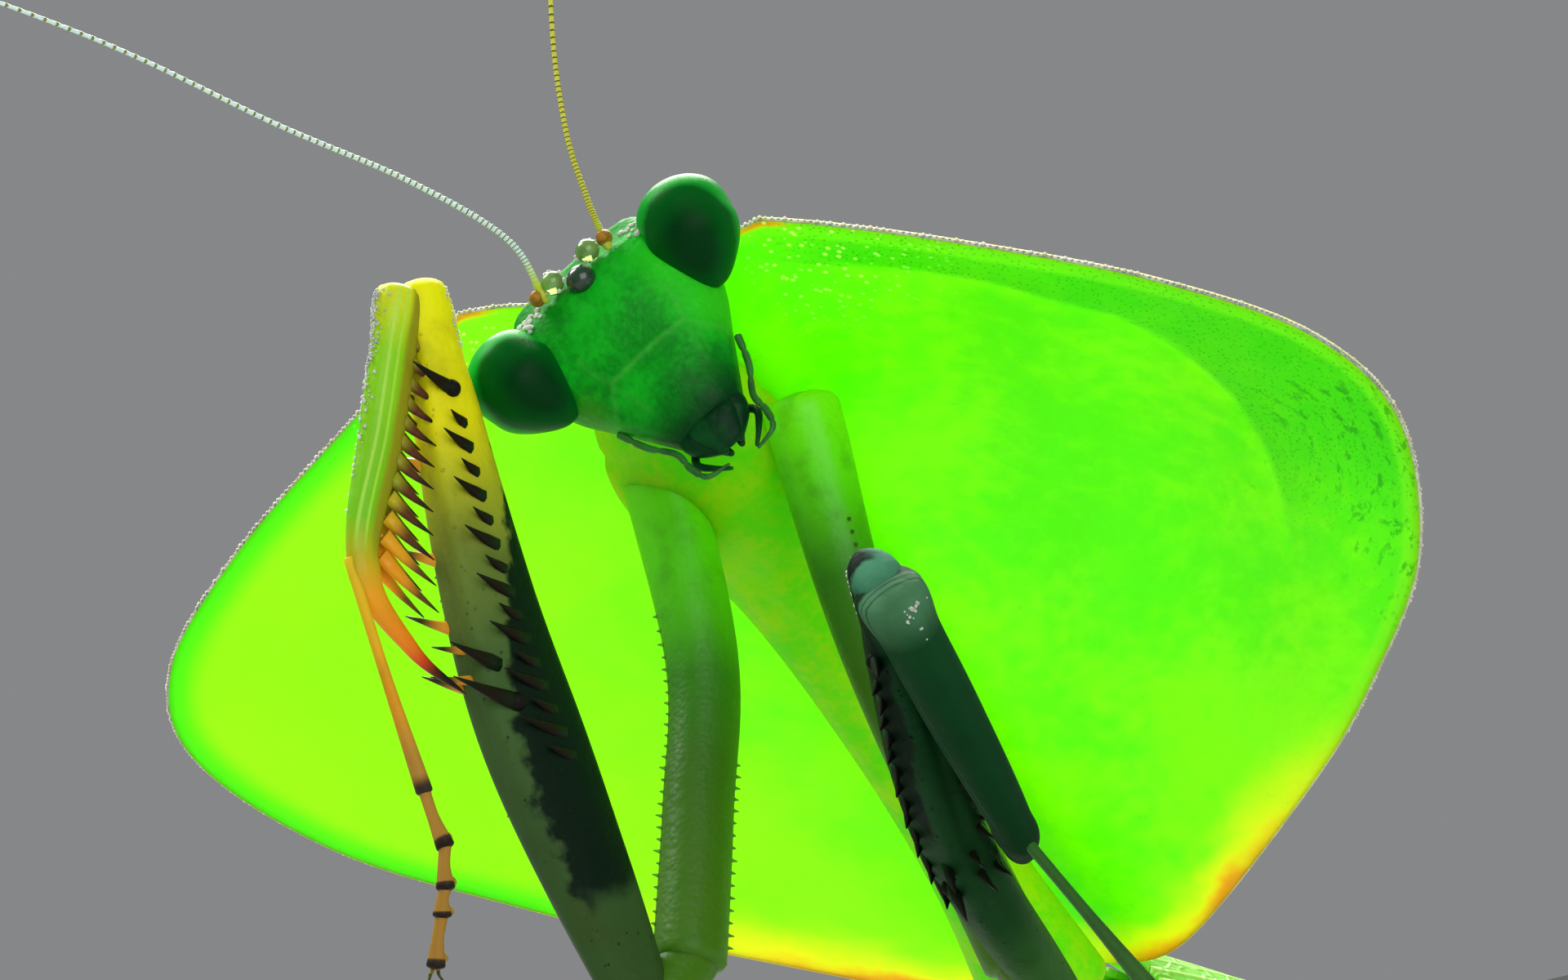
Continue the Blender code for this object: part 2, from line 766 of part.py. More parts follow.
def main():
    """Build the whole animal."""
    turn = Matrix.Rotation(math.radians(-PITCH), 3, "X")
    waist = Vector((0, WAIST_BEHIND_CENTRE, WAIST_HEIGHT))
    front = waist - turn @ WAIST
    stance = pose("stance", (0, 0, 0))
    prothorax_frame = pose("prothorax_pose", front, (-PITCH, 0, 0), stance)
    head_frame = pose("head_pose", HEAD_PLACE, HEAD_TURN, prothorax_frame)
    hind_frame = pose("hind_body_pose", waist, (-SLOPE, 0, 0), stance)
    bpy.context.view_layer.update()
    shield, body = build_prothorax(prothorax_frame)
    head = build_head(head_frame, prothorax_frame)
    build_neck(prothorax_frame, head, body, shield)
    for name, side in SIDES.items():
        ForeLeg(name, side, prothorax_frame).build(body, shield)
    thorax, abdomen = build_hind_body(hind_frame)
    keep_clear(thorax, body, shield)
    build_tegmina(hind_frame, thorax, abdomen)
    for pair in WALKING_LEGS:
        for name, side in SIDES.items():
            build_walking_leg(pair, name, side, stance, waist.y, thorax, abdomen)


for leftover in list(bpy.data.objects):
    bpy.data.objects.remove(leftover)
PARTS = collection("praying_mantis")
CUTTERS = collection("cutters")
main()
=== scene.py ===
"""The dressed model of a hooded mantis, Choeradodis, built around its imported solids.

Every part of the animal is shaped in millimetres in the frame that it grows in, and is placed in
the shared frame, in metres, when it is finished. Each vertex carries "local", the coordinates that
the finishes read, and "accent", which is a spine's run from root to tip, or a vein's strength.
"""

import logging
import math
import random
from dataclasses import dataclass
from enum import Enum
from functools import cache, reduce
from typing import Callable, Sequence

import bmesh
import bpy
from mathutils import Euler, Matrix, Vector


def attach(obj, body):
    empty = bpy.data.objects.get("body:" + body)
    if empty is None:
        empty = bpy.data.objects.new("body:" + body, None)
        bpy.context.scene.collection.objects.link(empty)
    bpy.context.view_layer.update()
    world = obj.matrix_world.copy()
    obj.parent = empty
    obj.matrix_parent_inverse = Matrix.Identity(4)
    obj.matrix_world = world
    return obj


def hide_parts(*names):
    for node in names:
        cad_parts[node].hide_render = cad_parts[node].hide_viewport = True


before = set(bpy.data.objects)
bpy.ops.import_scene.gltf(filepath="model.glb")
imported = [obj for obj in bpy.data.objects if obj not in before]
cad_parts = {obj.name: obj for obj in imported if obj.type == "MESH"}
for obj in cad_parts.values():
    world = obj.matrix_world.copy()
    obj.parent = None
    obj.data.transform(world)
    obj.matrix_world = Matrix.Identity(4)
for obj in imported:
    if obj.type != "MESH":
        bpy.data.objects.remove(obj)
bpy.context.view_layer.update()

LOG = logging.getLogger("mantis")
MM = 0.001
BODY = "root"
ACROSS = (1.0, 0.0, 0.0)
FLOOR_SIZE = 1.6
# A limb's length is measured in so many steps, and its slope over so small a share of it. Its
# rounded ends have sections at these angles.
LENGTH_STEPS = 24
NEAR = 0.01
ROUNDING = (25.0, 48.0, 68.0, 83.0)
Colour = tuple[float, float, float]
Point = tuple[float, float, float] | Vector
Line = Sequence[tuple[float, float]]
Socket = bpy.types.NodeSocket


class Side(Enum):
    """The animal's own left and right."""

    LEFT = "left"
    RIGHT = "right"

    @property
    def sign(self) -> int:
        """+1 on the left, where X is positive, and -1 on the right."""
        return 1 if self is Side.LEFT else -1


class Pair(Enum):
    """The two pairs of walking legs."""

    MID = "mid"
    HIND = "hind"


@dataclass(frozen=True)
class Stance:
    """How the body is held, as placements in millimetres.

    Attributes:
        pitch: Degrees by which the prothorax is raised.
        slope: Degrees by which the wings and abdomen fall.
        waist: The joint of prothorax and hind body above the floor.
        waist_in_prothorax: The same joint in the prothorax's frame.
        head_place: The head's origin in the prothorax's frame.
        head_turn: The head's turn there, in degrees.
    """

    pitch: float = 52.0
    slope: float = 28.0
    waist: tuple[float, float, float] = (0.0, 0.515, 20.0)
    waist_in_prothorax: tuple[float, float, float] = (0.0, 25.3, -1.5)
    head_place: tuple[float, float, float] = (1.6, -1.0, -3.7)
    head_turn: tuple[float, float, float] = (47.0, -37.0, -10.0)

    @property
    def ground(self) -> Matrix:
        """The floor's frame: X to the animal's left, Y to its rear, Z up."""
        return Matrix.Identity(4)

    @property
    def prothorax(self) -> Matrix:
        """Y runs back along the raised shield and Z out of its back.

        Returns:
            The prothorax's frame.
        """
        turn = Matrix.Rotation(math.radians(-self.pitch), 4, "X")
        front = Vector(self.waist) - turn @ Vector(self.waist_in_prothorax)
        return Matrix.Translation(front) @ turn

    @property
    def head(self) -> Matrix:
        """Y runs out of the back of the head and Z up through its vertex."""
        turn = Euler([math.radians(angle) for angle in self.head_turn]).to_matrix().to_4x4()
        return self.prothorax @ Matrix.Translation(self.head_place) @ turn

    @property
    def hind_body(self) -> Matrix:
        """The origin is at the waist and Y runs along the sloping wings."""
        turn = Matrix.Rotation(math.radians(-self.slope), 4, "X")
        return Matrix.Translation(self.waist) @ turn


STANCE = Stance()


def along(points: Sequence[Point], t: float) -> Vector:
    """Find the point at t, from 0 to 1, of a smooth curve through the points.

    Args:
        points: The points that the curve passes through, evenly spaced in t.
        t: How far along the curve.

    Returns:
        The point on the curve.
    """
    spot = t * (len(points) - 1)
    index = min(int(spot), len(points) - 2)
    f = spot - index
    b, c = Vector(points[index]), Vector(points[index + 1])
    a = Vector(points[index - 1]) if index else 2 * b - c
    d = Vector(points[index + 2]) if index + 2 < len(points) else 2 * c - b
    square = (2 * a - 5 * b + 4 * c - d) * f**2
    cube = (3 * b - a - 3 * c + d) * f**3
    return 0.5 * (2 * b + (c - a) * f + square + cube)


def rise(low: float, high: float, value: float) -> float:
    """Rise smoothly from 0 to 1 as the value goes from low to high."""
    x = min(max((value - low) / (high - low), 0.0), 1.0)
    return x * x * (3 - 2 * x)


def bell(value: float, width: float) -> float:
    """Fall smoothly from 1 at zero, over about the given width."""
    return math.exp(-((value / width) ** 2))


def to_line(spot: tuple[float, float], points: Line) -> float:
    """Measure how far a spot in a plane is from a broken line.

    Args:
        spot: The spot.
        points: The corners of the line.

    Returns:
        The shortest distance.
    """
    best = math.inf
    for (ax, ay), (bx, by) in zip(points, points[1:]):
        dx, dy = bx - ax, by - ay
        share = ((spot[0] - ax) * dx + (spot[1] - ay) * dy) / (dx * dx + dy * dy)
        share = min(max(share, 0.0), 1.0)
        best = min(best, math.hypot(spot[0] - ax - dx * share, spot[1] - ay - dy * share))
    return best


# Finishes


class Board:
    """Short ways to lay out shader nodes in one tree."""

    def __init__(self, tree: bpy.types.NodeTree) -> None:
        """Start on a tree."""
        self.tree = tree

    def feed(self, socket: Socket, value: object) -> None:
        """Link a socket's value into another socket, or set a plain value.

        Args:
            socket: The socket that takes it.
            value: Another node's output, a number, or a colour of three numbers.
        """
        if isinstance(value, Socket):
            self.tree.links.new(value, socket)
        elif isinstance(value, tuple) and len(value) == 3 and socket.type == "RGBA":
            socket.default_value = (*value, 1.0)
        else:
            socket.default_value = value

    def add(self, kind: str, feeds: dict[str | int, object], **settings: object) -> bpy.types.Node:
        """Add a node.

        Args:
            kind: The node's type.
            feeds: What goes into its sockets, by their names or numbers.
            **settings: The node's own settings.

        Returns:
            The node.
        """
        node = self.tree.nodes.new(kind)
        for key, value in settings.items():
            setattr(node, key, value)
        for key, value in feeds.items():
            self.feed(node.inputs[key], value)
        return node

    def local(self) -> Socket:
        """The piece's own pattern coordinates, in millimetres."""
        return self.add("ShaderNodeAttribute", {}, attribute_name="local").outputs["Vector"]

    def accent(self) -> Socket:
        """The run of a spine, or the strength of a vein."""
        return self.add("ShaderNodeAttribute", {}, attribute_name="accent").outputs["Fac"]

    def parts(self, vector: Socket) -> list[Socket]:
        """Split a vector into its X, Y and Z."""
        return list(self.add("ShaderNodeSeparateXYZ", {0: vector}).outputs)

    def calc(self, operation: str, a: object, b: object = 0.0) -> Socket:
        """Put two values through a Math node."""
        return self.add("ShaderNodeMath", {0: a, 1: b}, operation=operation).outputs[0]

    def times(self, first: object, *more: object) -> object:
        """Multiply all the values."""
        return reduce(lambda product, value: self.calc("MULTIPLY", product, value), more, first)

    def plus(self, a: object, b: object) -> Socket:
        """Add two values."""
        return self.calc("ADD", a, b)

    def minus(self, a: object, b: object) -> Socket:
        """Take b from a."""
        return self.calc("SUBTRACT", a, b)

    def reach(self, a: object, b: object) -> Socket:
        """The distance that two offsets at right angles make together."""
        return self.calc("SQRT", self.plus(self.calc("POWER", a, 2.0), self.calc("POWER", b, 2.0)))

    def waver(self, value: object, scale: float, amount: float) -> Socket:
        """Push a value up by at most the amount, with soft noise of so many waves per millimetre."""
        return self.plus(value, self.times(self.noise(self.local(), scale), amount))

    def dots(self, vector: object, scale: float, outer: float, inner: float) -> Socket:
        """Round spots, 1 within the inner radius and 0 beyond the outer one, as shares of a cell."""
        return self.step(self.cells(vector, scale), outer, inner)

    def step(self, value: object, low: float, high: float) -> Socket:
        """Rise smoothly from 0 to 1 between two limits.

        Args:
            value: The value.
            low: The value that gives 0.
            high: The value that gives 1, which may be the smaller one.

        Returns:
            The share.
        """
        feeds = {"Value": value, "From Min": low, "From Max": high}
        if low > high:
            feeds = {"Value": value, "From Min": high, "From Max": low, "To Min": 1.0, "To Max": 0.0}
        node = self.add("ShaderNodeMapRange", feeds, interpolation_type="SMOOTHSTEP")
        return node.outputs["Result"]

    def mix(self, share: object, a: object, b: object) -> Socket:
        """Mix two colours."""
        return self.add("ShaderNodeMix", {0: share, 6: a, 7: b}, data_type="RGBA").outputs[2]

    def paint(self, base: object, colour: object, *masks: object) -> Socket:
        """Lay a colour over another, as thickly as all the masks together say."""
        return self.mix(self.times(*masks), base, colour)

    def noise(self, vector: object, scale: object, detail: float = 3.0) -> Socket:
        """Soft noise, about 0.5."""
        feeds = {"Vector": vector, "Scale": scale, "Detail": detail}
        return self.add("ShaderNodeTexNoise", feeds).outputs["Fac"]

    def cells(self, vector: object, scale: object, feature: str = "F1") -> Socket:
        """A pattern of cells, as distances."""
        feeds = {"Vector": vector, "Scale": scale}
        return self.add("ShaderNodeTexVoronoi", feeds, feature=feature).outputs["Distance"]

    def ramp(self, value: object, stops: Sequence[tuple[float, Colour]]) -> Socket:
        """Turn a value into a colour.

        Args:
            value: The value, from 0 to 1.
            stops: The colours, each with the value that gives it.

        Returns:
            The colour.
        """
        node = self.add("ShaderNodeValToRGB", {0: value})
        marks = node.color_ramp.elements
        while len(marks) < len(stops):
            marks.new(1.0)
        for mark, (position, colour) in zip(marks, stops):
            mark.position = position
            mark.color = (*colour, 1.0)
        return node.outputs[0]

    def group(self, tree: bpy.types.NodeTree, feeds: dict[str, object]) -> Socket:
        """Place a shared effect.

        Args:
            tree: The effect.
            feeds: What goes into its named inputs.

        Returns:
            Its output.
        """
        node = self.tree.nodes.new("ShaderNodeGroup")
        node.node_tree = tree
        for key, value in feeds.items():
            self.feed(node.inputs[key], value)
        return node.outputs[0]


def start_effect(name: str, takes: dict[str, str], gives: tuple[str, str]) -> tuple:
    """Start a shared shader node group.

    Args:
        name: The group's name.
        takes: Its inputs, as names with socket types.
        gives: Its one output, as a name and a socket type.

    Returns:
        The board to lay it out on, its input sockets by name, and its output socket.
    """
    tree = bpy.data.node_groups.new(name, "ShaderNodeTree")
    for label, kind in takes.items():
        tree.interface.new_socket(label, in_out="INPUT", socket_type=f"NodeSocket{kind}")
    tree.interface.new_socket(gives[0], in_out="OUTPUT", socket_type=f"NodeSocket{gives[1]}")
    entry = tree.nodes.new("NodeGroupInput")
    leave = tree.nodes.new("NodeGroupOutput")
    return Board(tree), {label: entry.outputs[label] for label in takes}, leave.inputs[0]


@cache
def grain_effect() -> bpy.types.NodeTree:
    """Fine pebbled cuticle, as a height.

    Returns:
        The effect.
    """
    board, takes, leave = start_effect(
        "cuticle_grain", {"Vector": "Vector", "Scale": "Float"}, ("Height", "Float")
    )
    cells = board.cells(takes["Vector"], takes["Scale"])
    waves = board.noise(takes["Vector"], board.times(takes["Scale"], 0.35), 4.0)
    board.feed(leave, board.minus(waves, board.times(cells, 0.6)))
    return board.tree


@cache
def mottle_effect() -> bpy.types.NodeTree:
    """Cloudy change from one colour to another, with fine flecks.

    Returns:
        The effect.
    """
    takes = {"Vector": "Vector", "Scale": "Float", "Dark": "Color", "Light": "Color"}
    board, takes, leave = start_effect("mottle", takes, ("Color", "Color"))
    clouds = board.noise(takes["Vector"], takes["Scale"], 5.0)
    flecks = board.noise(takes["Vector"], board.times(takes["Scale"], 9.0), 2.0)
    both = board.plus(clouds, board.times(flecks, 0.35))
    board.feed(leave, board.mix(board.step(both, 0.5, 0.85), takes["Dark"], takes["Light"]))
    return board.tree


@cache
def horn_effect() -> bpy.types.NodeTree:
    """The change of colour along a spine, from its root to its tip.

    Returns:
        The effect.
    """
    takes = {"Root": "Color", "Middle": "Color", "Tip": "Color", "Run": "Float"}
    board, takes, leave = start_effect("horn", takes, ("Color", "Color"))
    lower = board.mix(board.step(takes["Run"], 0.02, 0.4), takes["Root"], takes["Middle"])
    board.feed(leave, board.mix(board.step(takes["Run"], 0.4, 0.8), lower, takes["Tip"]))
    return board.tree


@dataclass(frozen=True)
class Finish:
    """A finish of the animal's cuticle.

    Attributes:
        name: The material's name.
        roughness: How matt it is.
        glow: How much of the light that meets it runs on inside it.
        reach: How far that light runs, in millimetres.
        coat: How much clear wax lies over it.
        grains: Grains of its surface per millimetre.
        relief: How high the grains stand, in millimetres.
        shine: How strongly it mirrors, 0.5 for plain plastic.
    """

    name: str
    roughness: float = 0.42
    glow: float = 0.35
    reach: float = 0.5
    coat: float = 0.0
    grains: float = 6.0
    relief: float = 0.025
    shine: float = 0.28

    def colour(self, board: Board) -> object:
        """Lay out the nodes of the colour and give their last socket."""
        raise NotImplementedError

    def height(self, board: Board) -> Socket:
        """Lay out the nodes of the relief and give their last socket."""
        return board.group(grain_effect(), {"Vector": board.local(), "Scale": self.grains})

    def gloss(self, board: Board) -> object:
        """Lay out the nodes of the roughness.

        Args:
            board: Takes the nodes.

        Returns:
            The roughness.
        """
        patches = board.noise(board.local(), self.grains * 0.3)
        feeds = {"Value": patches, "To Min": self.roughness - 0.12, "To Max": self.roughness + 0.12}
        return board.add("ShaderNodeMapRange", feeds).outputs["Result"]

    def material(self) -> bpy.types.Material:
        """Make the material, once.

        Returns:
            The material.
        """
        known = bpy.data.materials.get(self.name)
        if known:
            return known
        made = bpy.data.materials.new(self.name)
        made.use_nodes = True
        board = Board(made.node_tree)
        shader = made.node_tree.nodes["Principled BSDF"]
        board.feed(shader.inputs["Base Color"], self.colour(board))
        board.feed(shader.inputs["Roughness"], self.gloss(board))
        shader.inputs["Subsurface Weight"].default_value = self.glow
        shader.inputs["Subsurface Radius"].default_value = (0.6, 1.0, 0.25)
        shader.inputs["Subsurface Scale"].default_value = self.reach * MM
        shader.inputs["Specular IOR Level"].default_value = self.shine
        shader.inputs["Coat Weight"].default_value = self.coat
        shader.inputs["Coat Roughness"].default_value = 0.25
        feeds = {"Strength": 0.8, "Distance": self.relief * MM, "Height": self.height(board)}
        board.feed(shader.inputs["Normal"], board.add("ShaderNodeBump", feeds).outputs["Normal"])
        self.set_shader(shader)
        return made

    def set_shader(self, shader: bpy.types.Node) -> None:
        """Set what only this finish changes on the shader's own sockets."""


@dataclass(frozen=True)
class Cuticle(Finish):
    """Mottled cuticle, with horny spines.

    Attributes:
        dark: The colour of the darker clouds.
        light: The colour of the lighter clouds.
        clouds: Clouds per millimetre.
        middle: The colour half way up a spine.
        tip: The colour of a spine's tip.
    """

    dark: Colour = (0.05, 0.3, 0.02)
    light: Colour = (0.2, 0.6, 0.04)
    clouds: float = 0.5
    middle: Colour = (0.2, 0.12, 0.02)
    tip: Colour = (0.01, 0.008, 0.006)

    def ground(self, board: Board) -> object:
        """The colour of the cuticle without its spines."""
        feeds = {"Vector": board.local(), "Scale": self.clouds, "Dark": self.dark, "Light": self.light}
        return board.group(mottle_effect(), feeds)

    def colour(self, board: Board) -> object:
        """Mottled ground with darker spines."""
        feeds = {"Root": self.ground(board), "Middle": self.middle, "Tip": self.tip}
        return board.group(horn_effect(), {**feeds, "Run": board.accent()})


@dataclass(frozen=True)
class BandedCuticle(Cuticle):
    """Cuticle whose colour changes along a limb.

    Attributes:
        stops: Colours at distances along the limb, in millimetres.
        depth: How strongly the darker clouds show.
    """

    stops: tuple[tuple[float, Colour], ...] = ()
    depth: float = 0.35

    def ground(self, board: Board) -> object:
        """The colours along the limb under soft darker clouds.

        Args:
            board: Takes the nodes.

        Returns:
            The colour.
        """
        run = board.parts(board.local())[0]
        reach = self.stops[-1][0]
        table = [(place / reach, colour) for place, colour in self.stops]
        base = board.ramp(board.calc("DIVIDE", run, reach), table)
        clouds = board.step(board.noise(board.local(), self.clouds, 5.0), 0.45, 0.75)
        return board.paint(base, self.dark, clouds, self.depth)


@dataclass(frozen=True)
class FemurCuticle(BandedCuticle):
    """The grasping thigh: dark blotch on its inner face, black sockets under the spines.

    Attributes:
        blotch: Where the blotch starts and ends along the thigh, in millimetres.
        ink: The colour of the blotch.
        speck: The colour of the fine dots.
    """

    blotch: tuple[float, float] = (3.4, 13.5)
    ink: Colour = (0.003, 0.014, 0.006)
    speck: Colour = (0.01, 0.02, 0.01)

    def ground(self, board: Board) -> object:
        """The banded ground with the blotch and rows of fine dots.

        Args:
            board: Takes the nodes.

        Returns:
            The colour.
        """
        base = BandedCuticle.ground(self, board)
        start, end = self.blotch
        run, inner, belly = board.parts(board.local())
        wavy = board.times(board.noise(board.local(), 1.6, 4.0), 1.1)
        spread = board.times(board.step(run, end + 1.1, end - 6.5), 1.9)
        edge = board.minus(board.minus(spread, wavy), belly)
        near = board.step(board.plus(run, wavy), start, start + 0.8)
        inside = board.step(inner, -0.5, 0.1)
        blotched = board.paint(base, self.ink, near, board.step(edge, 0.25, 0.5), inside)
        dots = board.dots(board.local(), 3.4, 0.17, 0.1)
        low = board.times(board.step(run, 13.0, 8.5), board.step(inner, 0.1, 0.4))
        return board.paint(blotched, self.speck, dots, low, 0.8)


@dataclass(frozen=True)
class ShieldCuticle(Cuticle):
    """The thin lime shield: orange corners, dark flecks, pale grains and faint veins.

    Attributes:
        corner: Where the notch's corner is, on the left half.
        amber: The colour of the corners and of the tail.
        sunny: The yellower lime of its right half.
        shady: The deeper green outside the curved vein.
        grassy: The green along the edge of its right half.
        bright: The fresh lime along the edge of its left half.
        gold: The yellow of the tail.
        fleck: The colour of the dark flecks.
        sand: The colour of the fine dark dots.
        cream: The colour of the pale grains.
    """

    corner: tuple[float, float] = (4.4, 0.1)
    amber: Colour = (0.95, 0.3, 0.01)
    sunny: Colour = (0.42, 0.9, 0.002)
    shady: Colour = (0.02, 0.42, 0.0)
    grassy: Colour = (0.03, 0.62, 0.0)
    bright: Colour = (0.35, 0.95, 0.01)
    gold: Colour = (0.85, 0.85, 0.01)
    fleck: Colour = (0.004, 0.2, 0.004)
    sand: Colour = (0.01, 0.3, 0.0)
    cream: Colour = (0.85, 1.0, 0.3)

    def ground(self, board: Board) -> object:
        """Lime with its markings.

        Args:
            board: Takes the nodes.

        Returns:
            The colour.
        """
        across, back, gap = board.parts(board.local())
        base = Cuticle.ground(self, board)
        drift = board.waver(across, 0.12, 14.0)
        base = board.paint(base, self.sunny, board.step(drift, 14.0, -4.0), 0.85)
        base = board.paint(base, self.shady, board.accent(), 0.52)
        base = board.paint(base, self.grassy, board.step(gap, 1.0, 0.1), board.step(across, -5.0, -9.0), 0.8)
        base = board.paint(base, self.bright, board.step(gap, 0.5, 0.3), board.step(across, -4.0, 2.0), 0.5)
        wide = board.calc("ABSOLUTE", across)
        away = board.reach(board.minus(wide, self.corner[0]), board.minus(back, self.corner[1]))
        base = board.paint(base, self.amber, board.step(away, 1.1, 0.25), board.step(gap, 0.2, 0.05))
        soft = board.waver(gap, 0.6, 1.4)
        base = board.paint(base, self.gold, board.step(back, 17.5, 22.5), board.step(soft, 2.7, 0.8))
        base = board.paint(base, self.amber, board.step(back, 20.5, 23.5), board.step(soft, 1.45, 0.65))
        base = self.flecks(board, base)
        return self.grains_on(board, base)

    def flecks(self, board: Board, base: object) -> object:
        """Dark flecks in loose rows and groups, and fine dots outside the curved vein.

        Args:
            board: Takes the nodes.
            base: The colour under them.

        Returns:
            The colour with them.
        """
        local = board.local()
        across, back, gap = board.parts(local)
        row = {"X": board.times(gap, 2.2), "Y": board.times(back, 0.9), "Z": 0.0}
        rows = board.add("ShaderNodeCombineXYZ", row).outputs["Vector"]
        smudges = board.step(board.noise(rows, 1.7, 4.0), 0.52, 0.64)
        small = board.times(smudges, board.step(board.noise(local, 5.0, 3.0), 0.4, 0.55))
        groups = board.times(board.step(board.noise(local, 0.35, 3.0), 0.6, 0.74), 0.6)
        ragged = board.minus(board.calc("ABSOLUTE", across), board.times(board.noise(local, 0.8), 3.0))
        sides = board.times(board.step(back, 6.5, 8.5), board.step(back, 17.5, 14.5))
        margin = board.times(board.step(ragged, 12.2, 14.6), sides)
        left = board.step(across, -3.0, 1.0)
        base = board.paint(base, self.fleck, small, board.calc("MAXIMUM", groups, margin), left, 0.62)
        return board.paint(base, self.sand, board.dots(local, 7.0, 0.35, 0.15), board.accent(), 0.5)

    def grains_on(self, board: Board, base: object) -> object:
        """Pale grains beside the notch.

        Args:
            board: Takes the nodes.
            base: The colour under them.

        Returns:
            The colour with them.
        """
        across, back, _ = board.parts(board.local())
        wide = board.calc("ABSOLUTE", across)
        beside = board.times(board.step(wide, 10.5, 6.0), board.step(wide, 3.0, 4.5))
        near = board.times(board.step(back, 4.5, 1.0), beside)
        return board.paint(base, self.cream, board.dots(board.local(), 3.6, 0.3, 0.14), near, 0.8)

    def colour(self, board: Board) -> object:
        """The ground alone: the shield has no spines."""
        return self.ground(board)


@dataclass(frozen=True)
class HeadCuticle(Cuticle):
    """Emerald face: pale sutures and eye margins, painted light on the vertex and the left side, and painted
    shade darkening towards the mouth.

    Attributes:
        dusk: The colour near the mouth, painted shade under the face.
        crown: The paler colour of the vertex, a painted highlight where the light from above and behind
            falls.
        cheek: The yellower colour beside the mouth.
        flank: The bright colour of its left side, painted light.
        seam: The colour of the sutures.
    """

    dusk: Colour = (0.001, 0.045, 0.008)
    crown: Colour = (0.1, 0.5, 0.1)
    cheek: Colour = (0.16, 0.5, 0.02)
    flank: Colour = (0.03, 0.8, 0.008)
    seam: Colour = (0.08, 0.52, 0.06)

    def colour(self, board: Board) -> object:
        """Mottled green with the face's painted shade and painted light, and its lines.

        Args:
            board: Takes the nodes.

        Returns:
            The colour.
        """
        across, _, up = board.parts(board.local())
        wide = board.calc("ABSOLUTE", across)
        base = Cuticle.ground(self, board)
        # Painted shade: the face darkens towards the mouth, under the head.
        base = board.paint(base, self.dusk, board.step(board.waver(up, 0.9, 1.2), -1.6, -3.6))
        # Painted highlight along the vertex.
        base = board.paint(base, self.crown, board.step(up, 1.3, 1.9))
        base = board.paint(base, self.cheek, board.step(wide, 1.45, 2.1), board.step(up, -1.2, -1.9), 0.25)
        # Painted light over the left side of the face.
        height = board.times(board.step(up, 0.9, -0.5), board.step(up, -3.0, -2.0))
        base = board.paint(base, self.flank, board.step(across, 0.7, 1.7), height, 0.6)
        return board.paint(base, self.seam, board.accent())


@dataclass(frozen=True)
class EyeLens(Finish):
    """A compound eye: deep green in front, emerald towards its rim and back; the deep front is painted shade
    and the emerald rim and back are painted light.

    Attributes:
        deep: The colour where the eye faces forward, painted shade standing in for the dark pseudopupil.
        bright: The colour round the rim and on the back, painted light standing in for the back light.
        tilt: The cosine and sine of the angle by which the deep part looks up.
        facets: Facets per unit of its radius.
    """

    deep: Colour = (0.0, 0.04, 0.006)
    bright: Colour = (0.001, 0.4, 0.022)
    tilt: tuple[float, float] = (0.93, 0.36)
    facets: float = 42.0

    def colour(self, board: Board) -> object:
        """Emerald rim of painted light round a deep centre of painted shade.

        Args:
            board: Takes the nodes.

        Returns:
            The colour.
        """
        cosine, sine = self.tilt
        x, y, z = board.parts(board.local())
        lifted = board.plus(board.minus(board.times(z, cosine), board.times(y, sine)), 0.08)
        soft = board.waver(board.reach(x, lifted), 3.0, 0.08)
        # Painted light: the rim and the side facing back are brightened towards the emerald, round the
        # painted shade of the front.
        halo = board.times(board.step(soft, 0.35, 0.98), 0.22)
        rim = board.calc("MAXIMUM", halo, board.step(soft, 0.9, 1.04))
        facing = board.plus(board.times(y, cosine), board.times(z, sine))
        behind = board.step(facing, -0.05, 0.3)
        return board.mix(board.calc("MAXIMUM", rim, behind), self.deep, self.bright)

    def height(self, board: Board) -> Socket:
        """Fine facets."""
        return board.cells(board.local(), self.facets)


@dataclass(frozen=True)
class PlainCuticle(Finish):
    """One colour with faint clouds, for small parts.

    Attributes:
        shade: The colour.
        clear: How much light passes straight through.
    """

    shade: Colour = (0.8, 0.5, 0.1)
    clear: float = 0.0

    def colour(self, board: Board) -> object:
        """The shade, a little darker in clouds.

        Args:
            board: Takes the nodes.

        Returns:
            The colour.
        """
        darker = tuple(part * 0.6 for part in self.shade)
        feeds = {"Vector": board.local(), "Scale": 2.0, "Dark": darker, "Light": self.shade}
        return board.group(mottle_effect(), feeds)

    def set_shader(self, shader: bpy.types.Node) -> None:
        """Let light through where the part is clear, and scatter it evenly.

        Args:
            shader: The material's shader.
        """
        shader.inputs["Subsurface Radius"].default_value = (1.0, 0.9, 0.6)
        shader.inputs["Transmission Weight"].default_value = self.clear
        shader.inputs["IOR"].default_value = 1.45


@dataclass(frozen=True)
class RingedCuticle(Finish):
    """A feeler: pale beads parted by dark rings.

    Attributes:
        bead: The colour of the beads.
        ring: The colour between them.
        spacing: The length of one bead with its ring, in millimetres.
        root: The colour of the first millimetres.
    """

    bead: Colour = (0.7, 0.6, 0.15)
    ring: Colour = (0.05, 0.04, 0.02)
    spacing: float = 0.22
    root: Colour = (0.5, 0.62, 0.05)

    def colour(self, board: Board) -> object:
        """Rings along the feeler, fading out at its root.

        Args:
            board: Takes the nodes.

        Returns:
            The colour.
        """
        run = board.parts(board.local())[0]
        phase = board.calc("FRACT", board.calc("DIVIDE", run, self.spacing))
        apart = board.calc("ABSOLUTE", board.minus(phase, 0.5))
        beads = board.mix(board.step(apart, 0.3, 0.45), self.bead, self.ring)
        return board.mix(board.step(run, 0.8, 3.2), self.root, beads)


